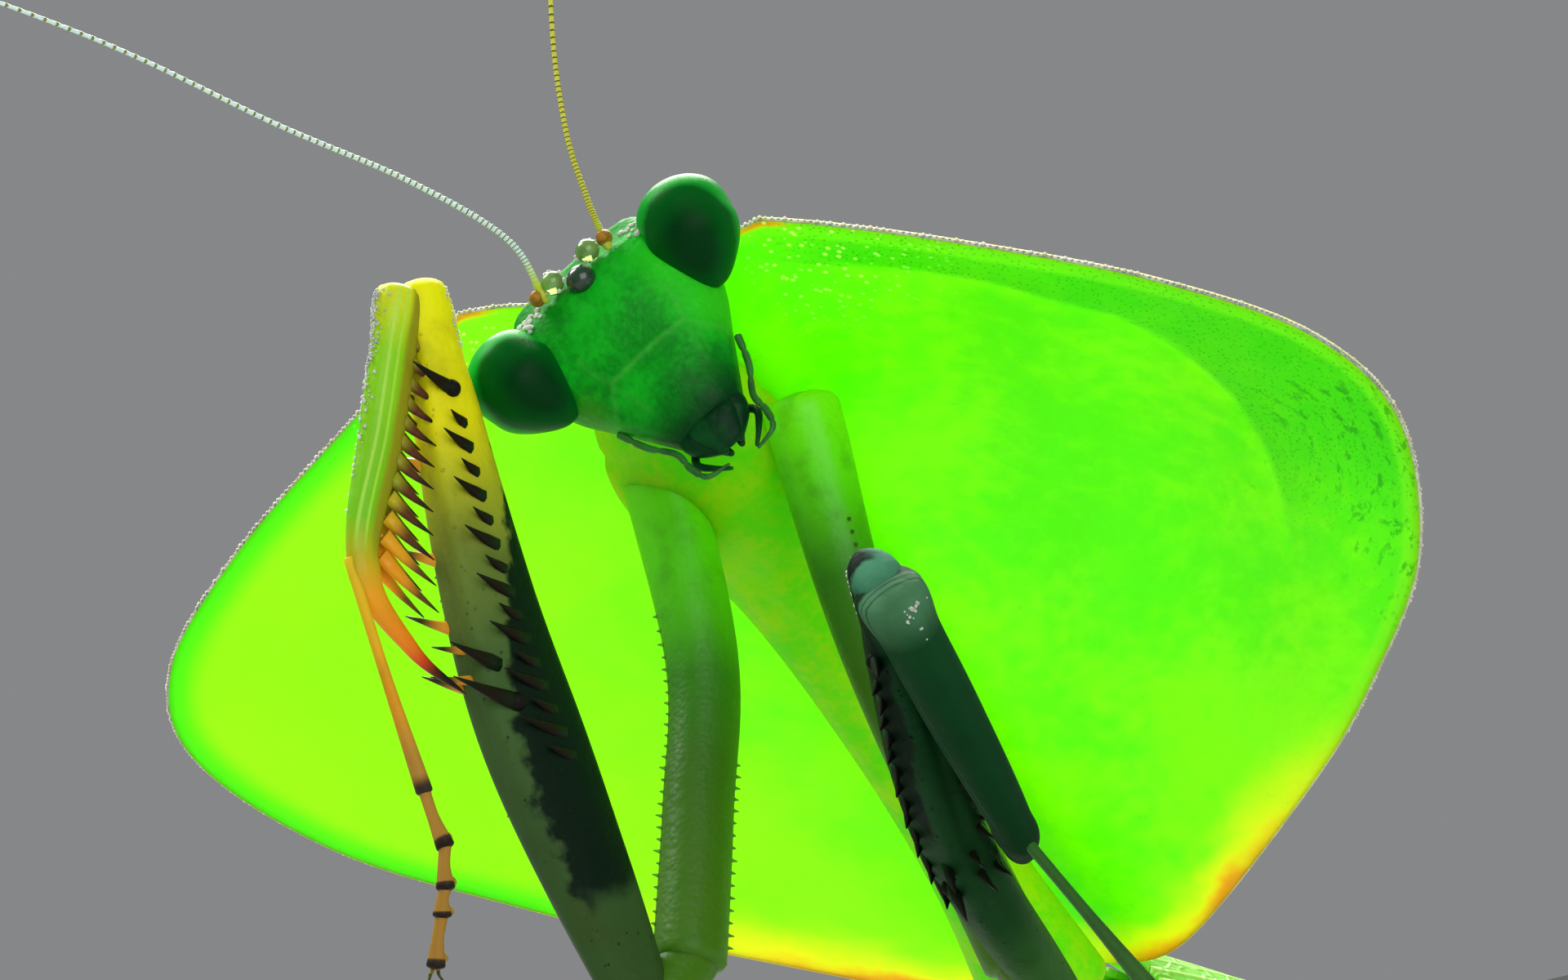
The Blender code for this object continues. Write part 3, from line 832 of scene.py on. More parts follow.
@dataclass(frozen=True)
class WingCuticle(Cuticle):
    """A leathery fore wing with a net of paler veins.

    Attributes:
        mesh: Cells of the net per millimetre.
        net: The colour of the small veins.
        vein: The colour of the long veins.
        hem: The colour of the outer edge.
        worn: The browner colour of the tip.
    """

    mesh: float = 1.3
    net: Colour = (0.42, 0.8, 0.12)
    vein: Colour = (0.5, 0.85, 0.16)
    hem: Colour = (0.45, 0.85, 0.03)
    worn: Colour = (0.45, 0.3, 0.03)

    def gaps(self, board: Board) -> Socket:
        """How far each point lies from the small veins."""
        return board.cells(board.local(), self.mesh, "DISTANCE_TO_EDGE")

    def colour(self, board: Board) -> object:
        """Green between paler veins, paler again along the outer edge.

        Args:
            board: Takes the nodes.

        Returns:
            The colour.
        """
        across, back, _ = board.parts(board.local())
        base = Cuticle.ground(self, board)
        base = board.paint(base, self.net, board.step(self.gaps(board), 0.07, 0.01), 0.35)
        base = board.paint(base, self.vein, board.accent(), 0.75)
        base = board.paint(base, self.hem, board.step(board.calc("ABSOLUTE", across), 6.5, 9.5), 0.4)
        return board.paint(base, self.worn, board.step(back, 34.0, 38.5), 0.5)

    def height(self, board: Board) -> Socket:
        """The net of small veins."""
        return board.step(self.gaps(board), 0.1, 0.0)


@dataclass(frozen=True)
class ShankCuticle(BandedCuticle):
    """The grasping shin: green outside, ochre beside its teeth, with two pale grooves.

    Attributes:
        inside: The colour beside the teeth.
        groove: The colour of the grooves.
        grooves: Where they run, from the shin's middle towards its teeth, in millimetres.
    """

    inside: Colour = (0.34, 0.34, 0.008)
    groove: Colour = (0.5, 0.85, 0.08)
    grooves: tuple[float, ...] = (-0.12, -0.34)

    def ground(self, board: Board) -> object:
        """The banded ground parted along the shin.

        Args:
            board: Takes the nodes.

        Returns:
            The colour.
        """
        run, _, grip = board.parts(board.local())
        outside = BandedCuticle.ground(self, board)
        soft = board.waver(grip, 1.2, 0.12)
        base = board.paint(outside, self.inside, board.step(soft, 0.0, 0.22), board.step(run, 5.8, 4.8))
        for place in self.grooves:
            line = board.step(board.calc("ABSOLUTE", board.minus(grip, place)), 0.05, 0.02)
            base = board.paint(base, self.groove, line, board.step(run, 5.5, 4.7), 0.7)
        return base


LIME = ShieldCuticle(
    "lime_shield", roughness=0.45, glow=1.0, reach=0.9, grains=2.2, relief=0.03, shine=0.15,
    dark=(0.14, 0.8, 0.0), light=(0.3, 0.94, 0.0), clouds=0.16,
)
RIM = PlainCuticle("shield_rim", roughness=0.6, glow=1.0, reach=0.15, shine=0.1, shade=(1.0, 1.0, 0.62))
TRUNK = Cuticle(
    "body_cuticle", roughness=0.5, glow=1.0, reach=4.0, shine=0.08, dark=(0.13, 0.97, 0.002),
    light=(0.36, 1.0, 0.003),
)
BELLY = Cuticle("belly_cuticle", dark=(0.14, 0.4, 0.05), light=(0.32, 0.66, 0.12))
SKIN = Cuticle("neck_skin", roughness=0.5, dark=(0.16, 0.45, 0.04), light=(0.3, 0.6, 0.1))
FACE = HeadCuticle(
    "face_cuticle", roughness=0.45, glow=0.3, reach=0.4, grains=7.0, relief=0.03, shine=0.1,
    dark=(0.001, 0.27, 0.008), light=(0.005, 0.52, 0.014), clouds=0.6,
)
EYE = EyeLens("eye_lens", roughness=0.36, glow=0.15, reach=0.25, relief=0.006, shine=0.06)
OCELLUS = PlainCuticle(
    "ocellus_glass", roughness=0.05, glow=0.0, coat=0.6, relief=0.0, shade=(0.35, 0.6, 0.15), clear=0.55
)
DARK_OCELLUS = PlainCuticle(
    "dark_ocellus_glass", roughness=0.05, glow=0.0, coat=0.8, relief=0.0, shade=(0.02, 0.06, 0.03)
)
SOCKET = PlainCuticle("antenna_socket", roughness=0.4, shade=(0.5, 0.24, 0.02))
# Pale grains: real tubercles, whose whiteness on the vertex, round the ocelli and at the knee is also a
# painted highlight of the back light.
PEARL = PlainCuticle("pearly_grain", roughness=0.3, shade=(0.85, 0.9, 0.75))
# The near-black green of the mouthparts is painted shade: they lie in the shade under the face.
MOUTH = Cuticle(
    "mouth_cuticle", roughness=0.45, shine=0.1, dark=(0.001, 0.03, 0.008), light=(0.003, 0.09, 0.015),
    middle=(0.01, 0.05, 0.01),
)
PALP = PlainCuticle("palp_cuticle", roughness=0.35, shade=(0.03, 0.2, 0.03))
FEELERS = {
    Side.LEFT: RingedCuticle("ochre_feeler", bead=(0.62, 0.55, 0.06), ring=(0.06, 0.05, 0.01)),
    Side.RIGHT: RingedCuticle("silver_feeler", bead=(0.62, 0.8, 0.85), ring=(0.2, 0.14, 0.06)),
}
# The bright lime near the hip's root, fading to olive along it, is painted light: it stands in for the back
# light shining through the hip beside the back-lit shield.
COXA = BandedCuticle(
    "coxa_cuticle", roughness=0.45, glow=0.5, reach=0.7, dark=(0.03, 0.2, 0.004), clouds=1.2,
    middle=(0.06, 0.2, 0.01), tip=(0.03, 0.08, 0.01),
    stops=(
        (0.0, (0.2, 0.98, 0.002)), (2.4, (0.12, 0.75, 0.002)), (5.2, (0.035, 0.23, 0.002)),
        (8.0, (0.045, 0.17, 0.002)), (12.5, (0.07, 0.21, 0.004)),
    ),
)
LEG = Cuticle(
    "leg_cuticle", dark=(0.06, 0.3, 0.015), light=(0.2, 0.55, 0.03), middle=(0.4, 0.45, 0.1),
    tip=(0.1, 0.06, 0.02),
)
THIGHS = {
    Side.RIGHT: FemurCuticle(
        "right_thigh", roughness=0.5, glow=0.3, shine=0.1, dark=(0.05, 0.07, 0.01), clouds=0.7,
        middle=(0.014, 0.008, 0.005),
        stops=(
            (0.0, (0.04, 0.1, 0.02)), (5.0, (0.045, 0.11, 0.03)), (9.5, (0.07, 0.15, 0.035)),
            (12.0, (0.17, 0.25, 0.035)), (13.6, (0.42, 0.47, 0.02)), (15.3, (0.88, 0.84, 0.006)),
            (18.6, (0.97, 0.98, 0.004)),
        ),
    ),
    # The left thigh is a copy in painted shade: its darker greens stand in for the shade it lies in, the teal
    # stop at the knee is a painted highlight, and its blotch, reaching to the knee, is partly the real blotch
    # and partly painted shadow along the spined edge.
    Side.LEFT: FemurCuticle(
        "left_thigh", roughness=0.6, glow=0.2, shine=0.04, dark=(0.002, 0.02, 0.004), clouds=0.7,
        middle=(0.006, 0.012, 0.006),
        stops=(
            (0.0, (0.04, 0.15, 0.02)), (4.5, (0.03, 0.12, 0.02)), (7.0, (0.01, 0.06, 0.014)),
            (12.0, (0.008, 0.055, 0.014)), (16.0, (0.002, 0.04, 0.01)), (17.3, (0.005, 0.06, 0.02)),
            (18.3, (0.1, 0.36, 0.2)),
        ),
        blotch=(10.0, 20.0),
    ),
}
OUTER_SPINES = {
    Side.RIGHT: Cuticle(
        "amber_spine", roughness=0.3, glow=0.5, dark=(0.75, 0.5, 0.03), light=(0.95, 0.8, 0.15),
        middle=(0.8, 0.36, 0.03), tip=(0.02, 0.008, 0.004),
    ),
    # The left outer spines are a copy in painted shade: dark, where the right ones are amber.
    Side.LEFT: Cuticle(
        "dark_spine", roughness=0.3, glow=0.3, dark=(0.05, 0.1, 0.02), light=(0.08, 0.14, 0.03),
        middle=(0.02, 0.02, 0.01),
    ),
}
SHANKS = {
    Side.RIGHT: ShankCuticle(
        "right_shin", roughness=0.42, glow=0.45, dark=(0.06, 0.3, 0.004), middle=(0.12, 0.03, 0.008),
        tip=(0.012, 0.004, 0.003), depth=0.15,
        stops=(
            (0.0, (0.75, 0.8, 0.01)), (1.3, (0.3, 0.72, 0.003)), (4.6, (0.2, 0.62, 0.003)),
            (5.5, (0.6, 0.5, 0.01)), (6.4, (0.92, 0.42, 0.01)), (8.2, (0.9, 0.24, 0.008)),
            (8.9, (0.65, 0.07, 0.005)), (9.5, (0.12, 0.01, 0.004)), (9.9, (0.012, 0.003, 0.003)),
        ),
    ),
    # The left shin is a copy in painted shade: its dark greens stand in for the shade it lies in, and the
    # paler teal at its root by the knee is a painted highlight.
    Side.LEFT: ShankCuticle(
        "left_shin", roughness=0.6, glow=0.2, shine=0.04, dark=(0.002, 0.02, 0.004),
        middle=(0.006, 0.012, 0.006), tip=(0.006, 0.005, 0.004), inside=(0.004, 0.025, 0.006),
        groove=(0.01, 0.08, 0.03),
        stops=(
            (0.0, (0.08, 0.24, 0.11)), (0.9, (0.006, 0.06, 0.016)), (7.0, (0.003, 0.032, 0.008)),
            (9.0, (0.02, 0.03, 0.01)), (11.0, (0.01, 0.006, 0.004)),
        ),
    ),
}
FEET = {
    Side.RIGHT: BandedCuticle(
        "foot_cuticle", roughness=0.5, shine=0.12, dark=(0.25, 0.1, 0.02), middle=(0.05, 0.03, 0.02),
        tip=(0.02, 0.012, 0.008),
        stops=(
            (0.0, (0.85, 0.6, 0.02)), (3.5, (0.85, 0.38, 0.015)), (5.0, (0.5, 0.27, 0.04)),
            (9.0, (0.42, 0.22, 0.035)),
        ),
    ),
    # The left fore foot is a copy in painted shade: dark green, where the right one is orange.
    Side.LEFT: BandedCuticle(
        "dark_foot", roughness=0.45, glow=0.2, dark=(0.01, 0.04, 0.01), middle=(0.02, 0.03, 0.01),
        tip=(0.01, 0.01, 0.006),
        stops=((0.0, (0.02, 0.12, 0.01)), (9.0, (0.05, 0.14, 0.02))),
    ),
}
WING = WingCuticle(
    "wing_cuticle", glow=0.45, reach=0.6, dark=(0.08, 0.45, 0.01), light=(0.2, 0.7, 0.02), clouds=0.3
)


# Shaping


class Blank:
    """A mesh in the making, in millimetres, with the values that its finish reads."""

    def __init__(self) -> None:
        """Start empty."""
        self.bm = bmesh.new()
        self.local = self.bm.verts.layers.float_vector.new("local")
        self.accent = self.bm.verts.layers.float.new("accent")

    def ball(self, place: Point, radii: float | Point, finer: int = 1) -> list:
        """Add a rounded grain or ball.

        Args:
            place: Its centre.
            radii: Its radius, or its three half sizes.
            finer: How finely it is divided.

        Returns:
            Its vertices.
        """
        sizes = (radii,) * 3 if isinstance(radii, float) else radii
        put = Matrix.Translation(place) @ Matrix.Diagonal((*sizes, 1.0))
        verts = bmesh.ops.create_icosphere(self.bm, subdivisions=finer, radius=1.0, matrix=put)["verts"]
        for vert in verts:
            vert[self.local] = vert.co
        return verts

    def spike(
        self, root: Vector, tip: Vector, wide: float, thin: float, side: Vector, bend: Vector, mark: Point
    ) -> list:
        """Add a curved spine.

        Args:
            root: The middle of its base.
            tip: Its point.
            wide: Its width at the root, along side.
            thin: Its other width at the root.
            side: The way that its width is measured.
            bend: How far its middle stands out of the straight.
            mark: The pattern coordinates that it shares with the skin round its root.

        Returns:
            Its vertices.
        """
        path = (root, root.lerp(tip, 0.5) + bend, tip)
        sizes = ((wide, thin), (wide * 0.54, thin * 0.6), (0.03, 0.03))
        return Limb(path, sizes, side).build(self, 6, 7, (0.0, 0.0), mark)

    def plate(self, columns: int, rows: int, point_at: Callable[[float, float], Vector]) -> list:
        """Add a curved sheet without thickness.

        Args:
            columns: How many faces it has across.
            rows: How many faces it has along.
            point_at: Where a point goes, from its shares across and along.

        Returns:
            Its vertices.
        """
        made = bmesh.ops.create_grid(self.bm, x_segments=columns, y_segments=rows, size=0.5)["verts"]
        for vert in made:
            vert.co = point_at(vert.co.x + 0.5, vert.co.y + 0.5)
            vert[self.local] = vert.co
        return made

    def finish(
        self, name: str, pose: Matrix, finish: Finish, slot: str, *nodes: str, thickness: float = 0.0
    ) -> None:
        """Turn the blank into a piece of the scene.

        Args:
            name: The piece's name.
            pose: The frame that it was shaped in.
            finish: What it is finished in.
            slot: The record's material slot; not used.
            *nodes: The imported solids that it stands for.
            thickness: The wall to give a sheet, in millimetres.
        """
        bmesh.ops.transform(self.bm, matrix=Matrix.Scale(MM, 4) @ pose, verts=self.bm.verts)
        bmesh.ops.recalc_face_normals(self.bm, faces=self.bm.faces)
        mesh = bpy.data.meshes.new(name)
        self.bm.to_mesh(mesh)
        self.bm.free()
        mesh.shade_smooth()
        mesh.materials.append(finish.material())
        piece = bpy.data.objects.new(name, mesh)
        bpy.context.scene.collection.objects.link(piece)
        if thickness:
            wall = piece.modifiers.new("wall", "SOLIDIFY")
            wall.thickness = thickness * MM
            wall.offset = 0.0
            wall.use_even_offset = False
        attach(piece, BODY)
        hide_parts(*nodes)
        LOG.info("%s: %d faces", name, len(mesh.polygons))


@dataclass
class Limb:
    """A tapering rounded form along a curve.

    Attributes:
        path: Points of its middle line.
        sizes: Full section sizes at even steps, along side and across it.
        side: The way that the first size is measured.
        flip: -1 turns the second size's positive side round.
        shape: Scales the section at a share of the length and an angle in degrees, or None.
        start: The run at its root, where it follows on from another.
    """

    path: Sequence[Point]
    sizes: Sequence[tuple[float, float]]
    side: Point
    flip: float = 1.0
    shape: Callable[[float, float], float] | None = None
    start: float = 0.0

    @property
    def length(self) -> float:
        """The length of the middle line."""
        spots = [along(self.path, i / LENGTH_STEPS) for i in range(LENGTH_STEPS + 1)]
        return sum((b - a).length for a, b in zip(spots, spots[1:]))

    def forward(self, t: float) -> Vector:
        """The way along the limb there."""
        return (along(self.path, min(t + NEAR, 1.0)) - along(self.path, max(t - NEAR, 0.0))).normalized()

    def station(self, t: float, shift: float = 0.0, shrink: float = 1.0) -> Matrix:
        """Place a unit section.

        Args:
            t: The share of the length.
            shift: How far beyond it, along the limb.
            shrink: The section's size as a share of its full one.

        Returns:
            The matrix that puts a unit circle there.
        """
        tangent = self.forward(t)
        side = Vector(self.side)
        across = (side - tangent * tangent.dot(side)).normalized()
        upward = tangent.cross(across) * self.flip
        size = along(self.sizes, t) * 0.5 * shrink
        put = Matrix((across * size.x, upward * size.y, tangent)).transposed().to_4x4()
        put.translation = along(self.path, t) + tangent * shift
        return put

    def surface(self, t: float, degrees: float, lift: float = 1.0) -> Vector:
        """Find a point of the surface.

        Args:
            t: The share of the length.
            degrees: The angle round it.
            lift: 1 on the surface, less inside it.

        Returns:
            The point.
        """
        scale = lift * (self.shape(t, degrees) if self.shape else 1.0)
        angle = math.radians(degrees)
        return self.station(t) @ Vector((math.cos(angle) * scale, math.sin(angle) * scale, 0.0))

    def outward(self, t: float, degrees: float) -> Vector:
        """The way out of the surface there."""
        return (self.surface(t, degrees) - along(self.path, t)).normalized()

    def mark(self, t: float, degrees: float) -> Vector:
        """Find the pattern coordinates of a point of the surface.

        Args:
            t: The share of the length.
            degrees: The angle round it.

        Returns:
            The run and the place in the section.
        """
        angle = math.radians(degrees)
        size = along(self.sizes, t) * 0.5
        return Vector((t * self.length, size.x * math.cos(angle), size.y * math.sin(angle)))

    def build(
        self, blank: Blank, rings: int, corners: int, ends: tuple[float, float] = (0.3, 0.3),
        mark: Point | None = None, placed: bool = False,
    ) -> list:
        """Extrude the form, section by section.

        Args:
            blank: The mesh to add it to.
            rings: How many sections it has.
            corners: How many corners a section has.
            ends: How far each end is rounded out.
            mark: Fixed pattern coordinates, as for a spine, or None.
            placed: Whether the pattern coordinates are the places instead of the run and section.

        Returns:
            Its vertices.
        """
        stations = [(i / (rings - 1), 0.0, 1.0) for i in range(rings)]
        for degrees in ROUNDING:
            out, shrink = math.sin(math.radians(degrees)), math.cos(math.radians(degrees))
            if ends[0]:
                stations.insert(0, (0.0, -ends[0] * out, shrink))
            if ends[1]:
                stations.append((1.0, ends[1] * out, shrink))
        bm, total, made = blank.bm, self.length, []
        ring = bmesh.ops.create_circle(bm, cap_ends=False, segments=corners, radius=1.0)["verts"]
        units = [vert.co.copy() for vert in ring]
        edges = list({edge for vert in ring for edge in vert.link_edges})
        root = edges
        for number, (t, shift, shrink) in enumerate(stations):
            if number:
                grown = bmesh.ops.extrude_edge_only(bm, edges=edges)["geom"]
                fresh = {item for item in grown if isinstance(item, bmesh.types.BMVert)}
                ring = [
                    next(e.other_vert(vert) for e in vert.link_edges if e.other_vert(vert) in fresh)
                    for vert in ring
                ]
                edges = [
                    item
                    for item in grown
                    if isinstance(item, bmesh.types.BMEdge) and fresh.issuperset(item.verts)
                ]
            put = self.station(t, shift, shrink)
            size = along(self.sizes, t) * 0.5 * shrink
            for vert, unit in zip(ring, units):
                scale = self.shape(t, math.degrees(math.atan2(unit.y, unit.x))) if self.shape else 1.0
                vert.co = put @ (unit * scale)
                if placed:
                    vert[blank.local] = vert.co
                elif mark is None:
                    run = self.start + t * total + shift
                    vert[blank.local] = (run, size.x * unit.x * scale, size.y * unit.y * scale)
                else:
                    vert[blank.local] = mark
                    vert[blank.accent] = t
            made += ring
        bmesh.ops.contextual_create(bm, geom=root)
        bmesh.ops.contextual_create(bm, geom=edges)
        return made


# The prothorax and its shield


@dataclass
class Shield:
    """The broad thin pronotum.

    Attributes:
        outline: The left half's edge, from the notch to the tail.
        notch_depth: How deep the notch dips at the midline.
        arch: How far the side edges droop.
        keel: The height and half width of the keel along the midline.
        thickness: Of the plate.
        rim: The half thickness of the bead round it.
        grains: How many grains stand along the rim.
        vein: The curved vein of the left half, as across and back.
        fold: The soft fold of the left half, as across and back.
        mesh: How many faces the plate has across and back.
    """

    outline: Line = (
        (4.5, 0.0), (9.2, 2.1), (13.8, 4.32), (17.07, 6.63), (18.0, 9.5), (16.3, 13.8), (13.0, 17.6),
        (9.6, 20.7), (3.9, 24.9), (1.0, 25.8),
    )
    notch_depth: float = 1.3
    arch: float = 2.4
    keel: tuple[float, float] = (0.8, 1.5)
    thickness: float = 0.2
    rim: float = 0.06
    grains: int = 460
    vein: Line = (
        (6.0, 2.0), (9.5, 3.5), (12.2, 5.2), (13.3, 6.6), (13.9, 8.2), (13.9, 10.2), (13.0, 13.0),
    )
    fold: Line = ((1.6, 24.0), (4.5, 15.0), (8.5, 9.0), (13.5, 5.6))
    mesh: tuple[int, int] = (150, 130)

    def point(self, across: float, back: float) -> Vector:
        """Find a point of the plate's middle surface.

        Args:
            across: The share of the width, from the right edge to the left one.
            back: The share of the outline, from the notch to the tail.

        Returns:
            The point.
        """
        edge = along(self.outline, back)
        x = (2 * across - 1) * edge.x
        fade = max(0.0, 1 - edge.y / 6)
        y = edge.y + self.notch_depth * fade * bell(x, 2.8)
        keel = self.keel[0] * bell(x, self.keel[1]) * rise(0, 5, edge.y)
        z = keel - self.arch * (x / self.outline[4][0]) ** 2
        z += 0.04 * bell(to_line((abs(x), y), self.vein), 0.2)
        z += 0.03 * bell(to_line((abs(x), y), self.fold), 0.5)
        z += 0.06 * math.sin(x * 0.9 + y * 0.35) * rise(2.0, 6.0, abs(x)) * rise(0.0, 3.0, edge.x - abs(x))
        return Vector((x, y, z))

    def margin(self, spot: tuple[float, float]) -> float:
        """Tell how far a point belongs to the band outside the curved vein.

        Args:
            spot: Its distance from the midline, and how far back it is.

        Returns:
            1 within the band, 0 outside it.
        """
        nearest = min(zip(self.vein, self.vein[1:]), key=lambda part: to_line(spot, part))
        (ax, ay), (bx, by) = nearest
        outside = (bx - ax) * (ay - spot[1]) + (by - ay) * (spot[0] - ax)
        gap = math.copysign(to_line(spot, nearest), outside)
        return rise(-0.05, 0.2, gap) * rise(3.0, 6.5, spot[0]) * rise(14.0, 9.5, spot[1])

    def border(self) -> list[Vector]:
        """The whole edge as a closed run of points, from the tail round by the left.

        Returns:
            The points.
        """
        steps, front_steps = 110, 24
        left = [self.point(1.0, 1 - i / steps) for i in range(steps)]
        front = [self.point(1 - i / front_steps, 0.0) for i in range(front_steps + 1)]
        right = [self.point(0.0, i / steps) for i in range(1, steps + 1)]
        return left + front + right

    def build(self) -> None:
        """Make the plate, and the bead with its grains round it."""
        blank = Blank()
        border = [(spot.x, spot.y) for spot in (self.point(1.0, i / 60) for i in range(61))]
        front = [(spot.x, spot.y) for spot in (self.point(0.5 + i / 24, 0.0) for i in range(13))]
        for vert in blank.plate(*self.mesh, self.point):
            spot = (abs(vert.co.x), vert.co.y)
            gap = min(to_line(spot, border), to_line(spot, front))
            vert[blank.local] = (vert.co.x, vert.co.y, gap)
            vert[blank.accent] = self.margin(spot) * rise(-2.0, 3.0, vert.co.x)
        blank.finish("shield", STANCE.prothorax, LIME, "shield_lime", "pronotum", thickness=self.thickness)
        self.build_rim()

    def build_rim(self) -> None:
        """The pale bead along the edge, finely toothed in front."""
        blank = Blank()
        border = self.border()
        size = 2 * self.rim
        bead = Limb(border, ((size, size * 0.9),) * 2, (0.0, 0.0, 1.0))
        bead.build(blank, len(border), 8, (0.1, 0.1), placed=True)
        dice = random.Random(4)
        first, last, centre = 0.12, 0.88, Vector((0.0, 10.0, -1.0))
        for number in range(self.grains):
            spot = along(border, first + (last - first) * number / (self.grains - 1))
            inward = (centre - spot).normalized()
            size = dice.uniform(0.03, 0.07) * (1.0 if spot.y < 9 else 0.7)
            blank.ball(spot - inward * self.rim * dice.uniform(0.6, 1.0), size)
        blank.finish("shield_rim", STANCE.prothorax, RIM, "shield_lime", "pronotum")


@dataclass
class Prothorax:
    """The narrow body under the shield, and the neck.

    Attributes:
        path: The body's middle line.
        sizes: Its widths and depths.
        neck: The neck's middle line.
        neck_sizes: Its widths and depths.
        creases: Where the body has a cross fold, as a share of its length, and how deep each is.
    """

    path: tuple = (
        (0.2, 1.9, -1.3), (0.2, 5.6, -1.6), (0.1, 9.8, -1.3), (0.0, 15.0, -1.2), (0.0, 20.0, -1.3),
        (0.0, 24.4, -1.7),
    )
    sizes: tuple = ((3.4, 2.4), (5.2, 3.4), (3.0, 2.7), (2.3, 2.3), (2.5, 2.5), (3.5, 3.1))
    neck: tuple = ((1.1, 0.1, -2.8), (0.6, 0.9, -2.2), (0.0, 2.0, -1.6))
    neck_sizes: tuple = ((2.4, 1.9), (2.2, 1.7), (2.3, 1.6))
    creases: tuple = ((0.34, 0.06), (0.13, 0.05))

    def shape(self, t: float, degrees: float) -> float:
        """A groove along the breast, and a fold behind the fore legs."""
        groove = 0.07 * bell(abs(degrees) - 90, 12.0) * rise(0.02, 0.2, t)
        return 1 - groove - sum(depth * bell(t - place, 0.012) for place, depth in self.creases)

    def neck_shape(self, t: float, degrees: float) -> float:
        """Soft folds round the neck."""
        return 1 + 0.03 * math.sin(t * 34 + math.sin(math.radians(degrees) * 2))

    def build(self) -> None:
        """Make both."""
        blank = Blank()
        Limb(self.path, self.sizes, ACROSS, shape=self.shape).build(blank, 90, 48, placed=True)
        blank.finish("prothorax_body", STANCE.prothorax, TRUNK, "body_green", "prothorax")
        blank = Blank()
        Limb(self.neck, self.neck_sizes, ACROSS, shape=self.neck_shape).build(blank, 40, 32, placed=True)
        blank.finish("neck_folds", STANCE.prothorax, SKIN, "body_green", "neck")


# The head


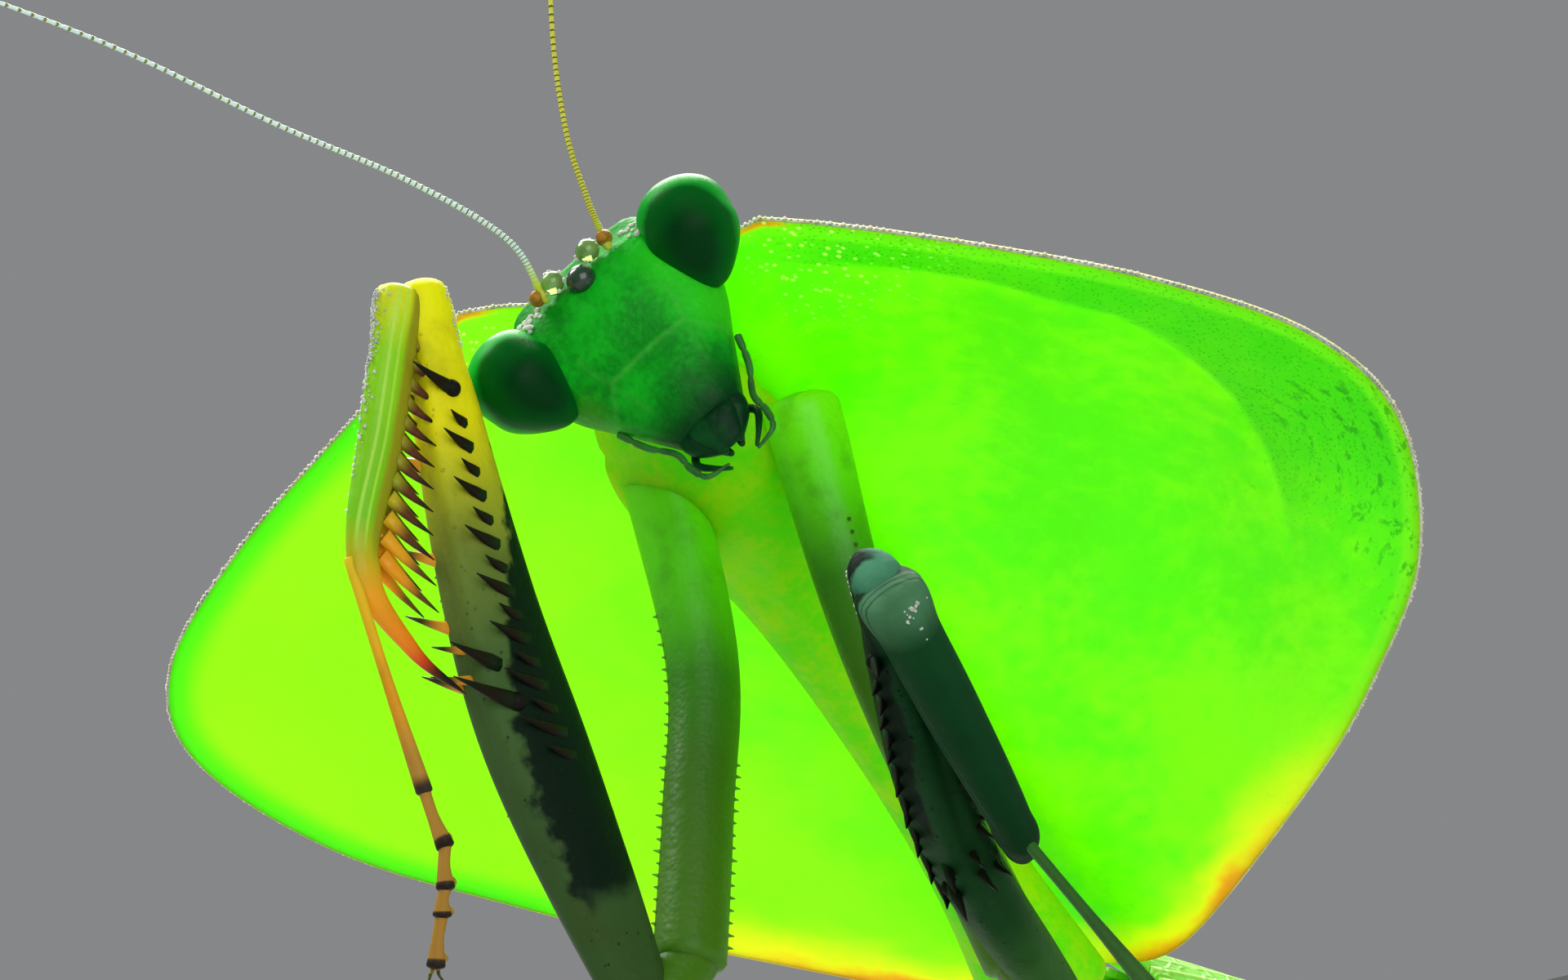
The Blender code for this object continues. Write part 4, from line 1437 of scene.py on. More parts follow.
@dataclass
class Head:
    """The triangular head with eyes, ocelli, mouthparts, palps and feelers.

    Attributes:
        path: The middle line of the capsule, from the vertex to the end of the face.
        sizes: Its widths and depths.
        eye_apart: From the midline to the centre of an eye.
        eye_size: The eye's half sizes.
        eye_lean: How far the eyes lean outwards at the top, in degrees.
        antenna_base: Where the left feeler grows.
        sutures: Lines of the face, for the left half, as across and up.
        suture_strength: How strongly each line shows.
        squareness: The power that rounds its section, 2 for an ellipse.
        pit: The pale pit at the corner of the face, as across and up.
        lip: The upper lip's middle line.
        lip_sizes: Its widths and depths.
        mouth: The left jaw, lower lip and short palp: middle line, sizes, rings, corners and ends.
        palp: The left long palp's middle line.
        palp_joints: Where it is jointed, as shares of its length.
        tuck: How much higher the right palp is held.
    """

    path: tuple = (
        (0.0, 0.45, 1.42), (0.0, 0.55, 0.8), (0.0, 0.6, -0.2), (0.0, 0.6, -1.4), (0.0, 0.55, -2.5),
        (0.0, 0.45, -4.0),
    )
    sizes: tuple = ((3.9, 0.9), (5.2, 2.3), (5.6, 2.9), (5.0, 2.7), (3.7, 2.3), (1.9, 1.6))
    eye_apart: float = 2.74
    eye_size: tuple = (1.2, 1.25, 1.5)
    eye_lean: float = 15.0
    antenna_base: tuple = (1.1, -0.62, 1.1)
    sutures: tuple = (
        ((0.0, -1.85), (1.17, -1.85)), ((1.17, -1.85), (1.45, -2.2), (1.92, -2.7)),
        ((1.17, -1.85), (1.36, -1.4), (1.38, -0.9)), ((1.1, -2.15), (0.95, -2.95)),
    )
    suture_strength: tuple = (0.6, 0.4, 0.35, 0.25)
    squareness: float = 2.35
    pit: tuple[float, float] = (1.92, -2.72)
    lip: tuple = ((0.0, 0.1, -3.7), (0.0, 0.02, -4.2), (0.0, 0.08, -4.75))
    lip_sizes: tuple = ((1.35, 0.5), (1.3, 0.5), (0.8, 0.3))
    mouth: tuple = (
        (
            ((0.62, 0.4, -3.6), (0.62, 0.32, -4.2), (0.22, 0.22, -4.85)),
            ((0.75, 0.8), (0.65, 0.7), (0.16, 0.2)),
            (20, 20, (0.1, 0.05)),
        ),
        (
            ((0.35, 0.75, -3.7), (0.35, 0.65, -4.3), (0.18, 0.5, -4.85)),
            ((0.55, 0.5), (0.45, 0.45), (0.18, 0.18)),
            (16, 16, (0.1, 0.1)),
        ),
        (
            ((0.75, 0.95, -4.0), (0.98, 0.5, -4.5), (0.75, 0.2, -4.95), (0.42, 0.1, -5.3)),
            ((0.24, 0.22), (0.19, 0.17), (0.1, 0.1)),
            (22, 12, (0.05, 0.05)),
        ),
    )
    palp: tuple = (
        (1.87, 0.5, -2.75), (1.6, 0.45, -3.5), (1.18, 0.3, -4.2), (1.15, 0.15, -4.8),
        (0.98, 0.1, -5.25), (0.42, 0.1, -5.38),
    )
    palp_joints: tuple = (0.1, 0.28, 0.52, 0.72)
    tuck: float = 0.2

    @property
    def capsule(self) -> Limb:
        """The head's plain form."""
        return Limb(self.path, self.sizes, ACROSS, shape=self.shape)

    def shape(self, t: float, degrees: float) -> float:
        """A squarer section than an ellipse, flatter in front.

        Args:
            t: The share of the length.
            degrees: The angle round it.

        Returns:
            The section's scale.
        """
        angle, power = math.radians(degrees), self.squareness
        square = (abs(math.cos(angle)) ** power + abs(math.sin(angle)) ** power) ** (-1 / power)
        return square * (1 - 0.04 * bell(degrees - 90, 30.0))

    def palp_shape(self, t: float, degrees: float) -> float:
        """A long palp's narrow joints."""
        return 1 - 0.3 * max(bell(t - place, 0.016) for place in self.palp_joints)

    def build_capsule(self) -> None:
        """The capsule with its sutures, the frons plate and the swellings beside the eyes."""
        blank = Blank()
        for vert in self.capsule.build(blank, 150, 150, (0.22, 0.0), placed=True):
            x, y, z = abs(vert.co.x), vert.co.y, vert.co.z
            front = rise(0.6, 0.0, y) if y < 0.6 else 0.0
            lines = zip(self.sutures, self.suture_strength)
            line = max(strength * bell(to_line((x, z), points), 0.075) for points, strength in lines)
            vert.co.y -= front * 0.05 * line
            vert.co.y -= front * 0.1 * bell(math.hypot(x / 1.1, (z + 0.55) / 0.9), 0.85)
            vert.co.y -= front * 0.14 * bell(math.hypot(x / 0.9, (z + 2.9) / 1.0), 0.8)
            vert.co.z -= 0.06 * bell(math.hypot(x, z - 1.6), 0.5)
            pit = bell(math.hypot(x - self.pit[0], z - self.pit[1]), 0.08)
            vert[blank.accent] = 0.6 * front * line + 0.8 * pit
        blank.finish("head_capsule", STANCE.head, FACE, "head_green", "head")

    def build_eye(self, side: Side) -> None:
        """An egg-shaped eye that narrows towards the cheek.

        Args:
            side: Which eye it is.
        """
        blank = Blank()
        verts = bmesh.ops.create_uvsphere(blank.bm, u_segments=72, v_segments=48, radius=1.0)["verts"]
        lean = Matrix.Rotation(math.radians(self.eye_lean * side.sign), 4, "Y")
        put = Matrix.Translation((self.eye_apart * side.sign, 0.0, -0.18)) @ lean
        for vert in verts:
            vert[blank.local] = vert.co
            unit = vert.co.copy()
            narrow = 1 + 0.2 * rise(0.1, 0.9, unit.z) - 0.28 * rise(0.0, 1.0, -unit.z)
            size = Vector((narrow * self.eye_size[0], narrow * self.eye_size[1], self.eye_size[2]))
            vert.co = put @ (unit * size)
        blank.finish(f"compound_eye_{side.value}", STANCE.head, EYE, "eye_green", f"eye_{side.value}")

    def build_ocelli(self) -> None:
        """Three glassy ocelli, the middle one dark, with pearly grains round them."""
        side_eyes, middle, pearls, sockets = Blank(), Blank(), Blank(), Blank()
        dice = random.Random(11)
        for side in Side:
            s = side.sign
            side_eyes.ball((0.58 * s, -0.6, 1.12), (0.31, 0.3, 0.29), 4)
            # Pale grains round the ocelli and over the vertex: tubercles whose whiteness is also a painted
            # highlight.
            for _ in range(13):
                angle = dice.uniform(0, math.tau)
                spot = Vector((0.56 * s + 0.29 * math.cos(angle), -0.66, 1.12 + 0.27 * math.sin(angle)))
                pearls.ball(spot, dice.uniform(0.025, 0.06), 2)
            for _ in range(26):
                spot = self.capsule.surface(dice.uniform(0.08, 0.22), 90 - s * dice.gauss(45, 6), 1.01)
                size = dice.uniform(0.03, 0.085)
                pearls.ball(spot, (size * 1.3, size, size * 0.8), 2)
            x, y, z = self.antenna_base
            for scale, lower in ((0.21, 0.0), (0.16, 0.12)):
                sockets.ball((x * s, y + 0.06 - lower, z), (scale, 0.2, scale), 3)
        middle.ball((0.0, -0.66, 0.66), (0.38, 0.33, 0.35), 4)
        side_eyes.finish("side_ocelli", STANCE.head, OCELLUS, "head_green", "head")
        middle.finish("middle_ocellus", STANCE.head, DARK_OCELLUS, "head_green", "head")
        pearls.finish("pearly_grains", STANCE.head, PEARL, "head_green", "head")
        sockets.finish("antenna_sockets", STANCE.head, SOCKET, "head_green", "head")

    def build_mouth(self) -> None:
        """The upper lip, the mandibles at its sides and the lower lip with its short palps."""
        blank = Blank()
        Limb(self.lip, self.lip_sizes, ACROSS).build(blank, 24, 28, (0.1, 0.15))
        for side in Side:
            for path, sizes, fineness in self.mouth:
                own = [(x * side.sign, y, z) for x, y, z in path]
                Limb(own, sizes, ACROSS).build(blank, *fineness)
        blank.finish("jaws", STANCE.head, MOUTH, "mouth_green", "mouthparts")

    def build_palp(self, side: Side) -> None:
        """A long jointed palp, hooked under the mouth.

        Args:
            side: Which palp it is.
        """
        tuck = 0.0 if side is Side.LEFT else self.tuck
        path = [(x * side.sign, y, z + tuck) for x, y, z in self.palp]
        sizes = ((0.2, 0.2), (0.17, 0.17), (0.18, 0.18), (0.08, 0.08))
        blank, name = Blank(), side.value
        Limb(path, sizes, (0, 1, 0), shape=self.palp_shape).build(blank, 70, 14, (0.05, 0.05))
        blank.finish(f"palp_{name}", STANCE.head, PALP, "mouth_green", f"maxillary_palp_{name}")

    def build(self) -> None:
        """Make the whole head but for its feelers."""
        self.build_capsule()
        for side in Side:
            self.build_eye(side)
            self.build_palp(side)
        self.build_ocelli()
        self.build_mouth()


@dataclass
class Feeler:
    """A long beaded feeler on its stem.

    Attributes:
        side: Whose feeler it is.
        path: Its middle line, in the prothorax's frame.
        bead: The length of one bead.
        width: Its thickness near the root, tapering to half of that.
    """

    side: Side
    path: tuple
    bead: float = 0.22
    width: float = 0.17

    def __post_init__(self) -> None:
        """Work out its form and its length."""
        sizes = ((self.width, self.width), (self.width * 0.5, self.width * 0.5))
        self.stalk = Limb(self.path, sizes, ACROSS, shape=self.beads)
        self.length = self.stalk.length

    def beads(self, t: float, degrees: float) -> float:
        """The beads, and the two thicker joints of the stem.

        Args:
            t: The share of the length.
            degrees: The angle round it.

        Returns:
            The section's scale.
        """
        run = t * self.length
        swell = 0.13 * math.cos(math.tau * run / self.bead) * rise(1.0, 2.5, run)
        stem = 0.6 * bell(run - 0.3, 0.3) + 0.25 * bell(run - 0.95, 0.2)
        return 1 + swell + stem

    def build(self) -> None:
        """Make the stem and the beads."""
        blank, name = Blank(), self.side.value
        self.stalk.build(blank, int(self.length / self.bead * 7), 10, (0.1, 0.1))
        finish = FEELERS[self.side]
        blank.finish(f"feeler_{name}", STANCE.prothorax, finish, "antenna_ochre", f"antenna_{name}")


# The legs


def add_foot(blank: Blank, joints: Sequence[Vector], side: Vector, down: Vector, width: float) -> None:
    """Add the jointed foot with its dark joints, pads and two claws.

    Args:
        blank: The mesh to add it to.
        joints: The ends of its segments, from the shin on.
        side: The way across the foot.
        down: The way to its soles.
        width: Its thickness.
    """
    run = 0.0
    for number, (start, end) in enumerate(zip(joints, joints[1:])):
        w = width if number == 0 else width * 1.1
        middle = start.lerp(end, 0.5) - down * 0.04
        sizes = ((w * 0.8, w * 0.8), (w * 0.85, w * 0.8), (w * 1.35, w * 1.2))
        segment = Limb((start, middle, end), sizes, side, start=run)
        for vert in segment.build(blank, 14, 12, (0.04, 0.1)):
            past = (vert[blank.local].x - run) / segment.length
            vert[blank.accent] = 0.75 * rise(0.84, 0.97, past) if number else 0.5 * rise(0.93, 1.0, past)
        if number:
            pad = start.lerp(end, 0.82) + down * w * 0.4
            for vert in blank.ball(pad, (w * 0.42, w * 0.42, w * 0.3), 2):
                vert[blank.local] = (run, 0.0, 0.0)
        run += segment.length
    end, forward = joints[-1], (joints[-1] - joints[-2]).normalized()
    for turn in (-1, 1):
        root = end + side * 0.07 * turn
        tip = root + forward * 0.42 + side * 0.24 * turn + down * 0.1
        blank.spike(root, tip, 0.14, 0.12, side, (forward - down) * 0.06, (run, 0.0, 0.0))


@dataclass
class ForeLeg:
    """One grasping leg, folded.

    Attributes:
        side: Whose leg it is.
        coxa: The middle line of the hip segment.
        femur: The two ends of the thigh, the second one at the knee.
        bow: How far the thigh's middle stands out towards its belly and its inner side.
        belly_way: The way that the spined edge of the thigh faces.
        fold: Degrees between thigh and shin.
        tarsus: The joints of the foot.
        hinge_offset: From the thigh's middle line to the shin's, at the knee.
        shin_length: From the knee to the root of the claw.
        claw: The claw's length, and its bend in degrees.
        teeth: Teeth of the shin, in each row.
        inner_spines: Spines of the thigh's inner row.
        great_spines: Single long ones beside it: share of the thigh, angle, length and socket.
        outer_spines: Where the spines of the outer row stand, as shares of the thigh.
        channel_spines: Those between the rows, each with its length.
        girth: How broad the thigh is, as a share of the usual.
        thigh_sizes: The thigh's thickness and breadth, from hip to knee.
        shin_sizes: The same of shin and claw.
    """

    side: Side
    coxa: tuple
    femur: tuple
    bow: tuple[float, float]
    belly_way: tuple
    fold: float
    tarsus: tuple
    hinge_offset: float = 0.62
    shin_length: float = 6.9
    claw: tuple[float, float] = (4.1, 57.0)
    teeth: int = 13
    inner_spines: int = 15
    great_spines: tuple = ((0.865, 6.0, 1.5, 0.23), (0.505, 36.0, 1.7, 0.12), (0.45, 26.0, 2.2, 0.25))
    outer_spines: tuple = (0.475, 0.555, 0.645, 0.77)
    channel_spines: tuple = ((0.49, 1.9), (0.53, 1.6))
    girth: float = 1.0
    thigh_sizes: tuple = ((1.1, 1.6), (1.45, 2.5), (1.6, 3.0), (1.5, 2.6), (1.3, 2.0), (1.2, 1.3))
    shin_sizes: tuple = ((0.9, 1.2), (0.85, 1.22), (0.6, 0.8), (0.3, 0.4), (0.05, 0.05))

    def __post_init__(self) -> None:
        """Work out the leg's own directions and forms."""
        self.base, self.knee = (Vector(end) for end in self.femur)
        self.axis = (self.knee - self.base).normalized()
        belly = Vector(self.belly_way)
        self.belly = (belly - self.axis * belly.dot(self.axis)).normalized()
        self.inner = -self.side.sign * self.axis.cross(self.belly)
        fold, bend = math.radians(self.fold), math.radians(self.claw[1])
        self.shank = self.belly * math.sin(fold) - self.axis * math.cos(fold)
        self.grip = -self.axis * math.sin(fold) - self.belly * math.cos(fold)
        self.hinge = self.knee + self.belly * self.hinge_offset
        self.ankle = self.hinge + self.shank * self.shin_length
        middle = self.base.lerp(self.knee, 0.5) + self.belly * self.bow[0] + self.inner * self.bow[1]
        path = (self.base, middle, self.knee)
        sizes = [(thick, broad * self.girth) for thick, broad in self.thigh_sizes]
        self.thigh = Limb(path, sizes, self.inner, self.side.sign, self.thigh_shape)
        hook = self.shank * math.cos(bend) + self.grip * math.sin(bend)
        tip = self.ankle + hook * self.claw[0]
        knuckle = self.ankle.lerp(tip, 0.5) + self.shank * 0.5
        path = (self.hinge, self.hinge.lerp(self.ankle, 0.5), self.ankle, knuckle, tip)
        sizes = [(thick * self.girth**2, broad * self.girth**2) for thick, broad in self.shin_sizes]
        self.shin = Limb(path, sizes, self.inner, self.side.sign, self.shin_shape)

    def thigh_shape(self, t: float, degrees: float) -> float:
        """The channel between the rows of spines, the ridges beside it and the knee's lobes.

        Args:
            t: The share of the length.
            degrees: The angle round it.

        Returns:
            The section's scale.
        """
        channel = 0.15 * bell(degrees - 90, 20.0) * rise(0.2, 0.45, t)
        ridges = 0.05 * (bell(degrees - 48, 11.0) + bell(degrees - 132, 11.0))
        crest = 0.04 * bell(degrees + 90, 14.0)
        knee = 0.1 * bell(t - 0.975, 0.03) * bell(abs(degrees) - 90, 50.0)
        waist = -0.05 * bell(t - 0.9, 0.03)
        return 1 - channel + ridges + crest + knee + waist

    def shin_shape(self, t: float, degrees: float) -> float:
        """Two fine grooves along the outer side, a rounded knee and a swelling at the claw.

        Args:
            t: The share of the length.
            degrees: The angle round it.

        Returns:
            The section's scale.
        """
        outer = rise(0.6, 0.5, t)
        grooves = 0.05 * (bell(abs(degrees) - 118, 7.0) + bell(abs(degrees) - 74, 7.0)) * outer
        knee = 0.16 * bell(t - 0.02, 0.04)
        root = 0.14 * bell(t - 0.52, 0.03)
        return 1 - grooves + knee + root

    def keep(self, blank: Blank, name: str, node: str, finish: Finish, slot: str = "leg_green") -> None:
        """Finish one piece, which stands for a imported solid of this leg."""
        side = self.side.value
        blank.finish(f"{name}_{side}", STANCE.prothorax, finish, slot, f"fore_{node}_{side}")

    def hip_shape(self, t: float, degrees: float) -> float:
        """The two low ridges that the hip's small teeth stand on."""
        return 1 + 0.04 * bell(degrees + 115, 14.0) + 0.04 * bell(degrees - 65, 12.0)

    def build_coxa(self) -> None:
        """The hip segment with two rows of small teeth, and the joint beyond it."""
        blank, flip = Blank(), self.side.sign
        hip = Limb(self.coxa, ((2.0, 2.0), (1.6, 1.8), (1.75, 1.8)), self.inner, flip, self.hip_shape)
        hip.build(blank, 60, 36, (0.4, 0.3))
        dice, last = random.Random(7), 0.96
        for degrees, count, first in ((-115, 28, 0.25), (65, 16, 0.55)):
            for number in range(count):
                t = first + (last - first) * number / (count - 1)
                root = hip.surface(t, degrees, 0.97)
                tip = root + hip.outward(t, degrees) * dice.uniform(0.1, 0.2)
                blank.spike(root, tip, 0.14, 0.12, hip.forward(t), Vector(), hip.mark(t, degrees))
        self.keep(blank, "hip", "coxa", COXA)
        blank = Blank()
        ends = (Vector(self.coxa[-1]), self.base)
        joint = Limb(ends, ((1.4, 1.5), (1.28, 1.4)), self.inner, flip, start=12.0)
        joint.build(blank, 16, 28, (0.5, 0.5))
        self.keep(blank, "hip_joint", "trochanter", COXA)

    def build_thigh(self) -> None:
        """The thigh with its inner row of black spines, fine grains, and the outer spines."""
        blank, outer = Blank(), Blank()
        thigh = self.thigh
        thigh.build(blank, 110, 56, (0.2, 0.35))
        for number in range(self.inner_spines):
            share = number / (self.inner_spines - 1)
            length = (1.6 - 0.6 * share) * (1.0 if number % 2 else 0.64)
            self.add_inner_spine(blank, 0.36 + 0.46 * share, -18 + 18 * share, length, 0.0)
        for t, degrees, length, socket in self.great_spines:
            self.add_inner_spine(blank, t, degrees, length, socket)
        dice = random.Random(3)
        for number in range(70):
            t = dice.uniform(0.05, 0.97)
            degrees = dice.choice((48, 132, -90)) + dice.gauss(0, 5)
            for vert in blank.ball(thigh.surface(t, degrees), dice.uniform(0.02, 0.045)):
                vert[blank.local] = thigh.mark(t, degrees)
        self.add_outer_spines(outer)
        self.keep(blank, "thigh", "femur", THIGHS[self.side], "femur_yellow")
        self.keep(outer, "outer_spines", "femur", OUTER_SPINES[self.side], "femur_yellow")

    def add_inner_spine(self, blank: Blank, t: float, degrees: float, length: float, socket: float) -> None:
        """One black spine of the thigh with its socket.

        Args:
            blank: The mesh to add it to.
            t: Where it stands, as a share of the thigh.
            degrees: Where it stands round the thigh.
            length: Its length.
            socket: The radius of the dark knob that it stands on, or 0 for none.
        """
        lean = (self.belly + self.axis * (0.35 + 0.45 * t)).normalized()
        root = self.thigh.surface(t, degrees, 0.88)
        tip = root + lean * length + self.inner * 0.34
        wide = 0.3 + 0.1 * length
        blank.spike(root, tip, wide, wide * 0.7, self.axis, self.axis * -0.02, (9.0, 0.0, 0.0))
        if socket:
            for vert in blank.ball(root.lerp(tip, 0.04), socket, 3):
                vert[blank.accent] = 0.8

    def add_outer_spines(self, blank: Blank) -> None:
        """The four spines of the outer row, and the long ones in the channel.

        Args:
            blank: The mesh to add them to.
        """
        thigh = self.thigh
        lean = (self.belly + self.axis * 0.5).normalized()
        for t in self.outer_spines:
            root = thigh.surface(t, 138, 0.6)
            tip = root + lean * 1.85 - self.inner * 0.1
            blank.spike(root, tip, 0.5, 0.34, self.axis, self.axis * -0.04, (t, 0.0, 0.0))
        for t, length in self.channel_spines:
            root = thigh.surface(t, 90, 0.55)
            tip = root + (lean - self.axis * 0.2) * length
            blank.spike(root, tip, 0.38, 0.32, self.axis, self.axis * -0.06, (t, 0.0, 0.0))

    def build_shin(self) -> None:
        """The shin with two rows of teeth, drawn out into its claw, and the grains at the knee."""
        blank, shin = Blank(), self.shin
        shin.build(blank, 120, 40, (0.3, 0.0))
        for turn in (-1, 1):
            for number in range(self.teeth):
                share = number / (self.teeth - 1)
                lean = (self.grip + self.shank * (0.25 + 0.25 * share)).normalized()
                base = self.hinge.lerp(self.ankle, 0.08 + 0.88 * share)
                root = base + self.grip * 0.36 + self.inner * 0.2 * turn
                length = 1.05 + 0.95 * share**3
                tip = root + lean * length + self.inner * 0.1 * turn
                mark = ((0.08 + 0.88 * share) * self.shin_length + 0.4, 0.0, 0.5)
                bend = self.shank * 0.05 + self.grip * -0.02
                for vert in blank.spike(root, tip, 0.36 + 0.12 * share, 0.26, self.shank, bend, mark):
                    vert[blank.accent] **= 1 + 1.6 * rise(0.8, 0.95, share)
        self.keep(blank, "shin", "tibia", SHANKS[self.side])
        self.build_grains()

    def build_grains(self) -> None:
        """Pale grains along the shin's back and over the knee, few on the left leg."""
        grains, dice = Blank(), random.Random(9)
        count, spread = (240, 0.14) if self.side is Side.RIGHT else (26, 0.02)
        for _ in range(count):
            t = abs(dice.gauss(0.0, spread))
            degrees = -98 + dice.gauss(0, 16)
            size = dice.uniform(0.02, 0.05)
            out = self.shin.outward(t, degrees) if t < 0.5 else -self.grip
            spot = self.shin.surface(min(t, 0.5), degrees) + out * size * 0.3
            grains.ball(spot, (size, size, size * 1.3))
        # Pale grains over the knee; on the shaded left leg their whiteness is also a painted highlight.
        for _ in range(130):
            spot = self.thigh.surface(dice.uniform(0.92, 1.0), dice.uniform(-150, -30))
            grains.ball(spot, dice.uniform(0.02, 0.045))
        self.keep(grains, "knee_grains", "tibia", PEARL)

    def build_foot(self) -> None:
        """The thin foot that hangs from the shin beside the claw."""
        joints = [self.ankle - self.grip * 0.42, *(Vector(joint) for joint in self.tarsus)]
        joints.insert(-1, joints[-2].lerp(joints[-1], 0.35))
        blank = Blank()
        add_foot(blank, joints, self.inner, self.grip, 0.34)
        self.keep(blank, "fore_foot", "tarsus", FEET[self.side], "tarsus_orange")

    def build(self) -> None:
        """Make the whole leg."""
        self.build_coxa()
        self.build_thigh()
        self.build_shin()
        self.build_foot()


@dataclass
class WalkingLeg:
    """A walking leg, as it stands on the left side; the right one is its mirror image.

    Attributes:
        pair: Which pair it belongs to.
        side: Whose leg it is.
        joints: Hip, end of the hip segment, knee, ankle and toe, with Y from the waist.
        width: The thigh's thickness near the hip.
        spines: How many small spines its shin has.
        low: The height of the foot's middle line above the floor.
    """

    pair: Pair
    side: Side
    joints: tuple
    width: float
    spines: int = 16
    low: float = 0.22

    def thigh_shape(self, t: float, degrees: float) -> float:
        """A ridge along each side, and the knee."""
        ridge = 0.05 * bell(abs(degrees) - 90, 16.0)
        return 1 + ridge + 0.14 * bell(t - 0.985, 0.02) - 0.08 * bell(t - 0.94, 0.02)

    def keep(self, blank: Blank, name: str, node: str, finish: Finish = LEG, slot: str = "leg_green") -> None:
        """Finish one segment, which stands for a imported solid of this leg."""
        pair, side = self.pair.value, self.side.value
        blank.finish(f"{name}_{pair}_{side}", STANCE.ground, finish, slot, f"{pair}_{node}_{side}")

    def build(self) -> None:
        """Make its hip, thigh, shin and foot."""
        s, behind = self.side.sign, STANCE.waist[1]
        hip, start, knee, ankle, toe = (Vector((x * s, y + behind, z)) for x, y, z in self.joints)
        up, w, blank = Vector((0, 0, 1)), self.width, Blank()
        path = (hip, hip.lerp(start, 0.5), start)
        Limb(path, ((1.9, 2.1), (1.6, 1.75), (1.25, 1.35)), up).build(blank, 26, 28)
        self.keep(blank, "hip", "coxa")
        blank = Blank()
        path = (start, start.lerp(knee, 0.5) + up * 0.25, knee)
        thigh = Limb(path, ((w, w), (w, w * 0.85), (0.85, 0.75)), up, shape=self.thigh_shape)
        thigh.build(blank, 70, 24, (0.3, 0.25))
        self.keep(blank, "thigh", "femur")
        self.build_shin(knee, ankle)
        self.build_foot(ankle, toe, up)

    def build_shin(self, knee: Vector, ankle: Vector) -> None:
        """The thin shin with its small spines.

        Args:
            knee: Where it starts.
            ankle: Where it ends.
        """
        blank = Blank()
        path = (knee, knee.lerp(ankle, 0.5), ankle)
        shin = Limb(path, ((0.72, 0.72), (0.5, 0.5), (0.56, 0.56)), ACROSS)
        shin.build(blank, 50, 18, (0.25, 0.15))
        for number in range(self.spines):
            t = 0.25 + 0.72 * number / (self.spines - 1)
            degrees = 60 if number % 2 else 130
            root = shin.surface(t, degrees, 0.9)
            tip = root + (shin.outward(t, degrees) + shin.forward(t) * 1.1).normalized() * 0.32
            blank.spike(root, tip, 0.12, 0.1, shin.forward(t), Vector(), shin.mark(t, degrees))
        self.keep(blank, "shin", "tibia")

    def build_foot(self, ankle: Vector, toe: Vector, up: Vector) -> None:
        """The jointed foot, flat where it meets the floor.

        Args:
            ankle: Where it starts.
            toe: Where it ends.
            up: The way up.
        """
        blank = Blank()
        flat = [ankle.lerp(toe, share) for share in (0.42, 0.62, 0.78, 0.88)]
        heights = (self.low + 0.12, self.low, self.low, self.low)
        middle = [Vector((p.x, p.y, z)) for p, z in zip(flat, heights)]
        joints = [ankle, *middle, Vector((toe.x, toe.y, self.low))]
        add_foot(blank, joints, up.cross(toe - ankle).normalized(), -up, 0.36)
        for vert in blank.bm.verts:
            vert.co.z = max(vert.co.z, 0.0)
        self.keep(blank, "foot", "tarsus", FEET[Side.RIGHT], "tarsus_orange")


# The hind body and the wings


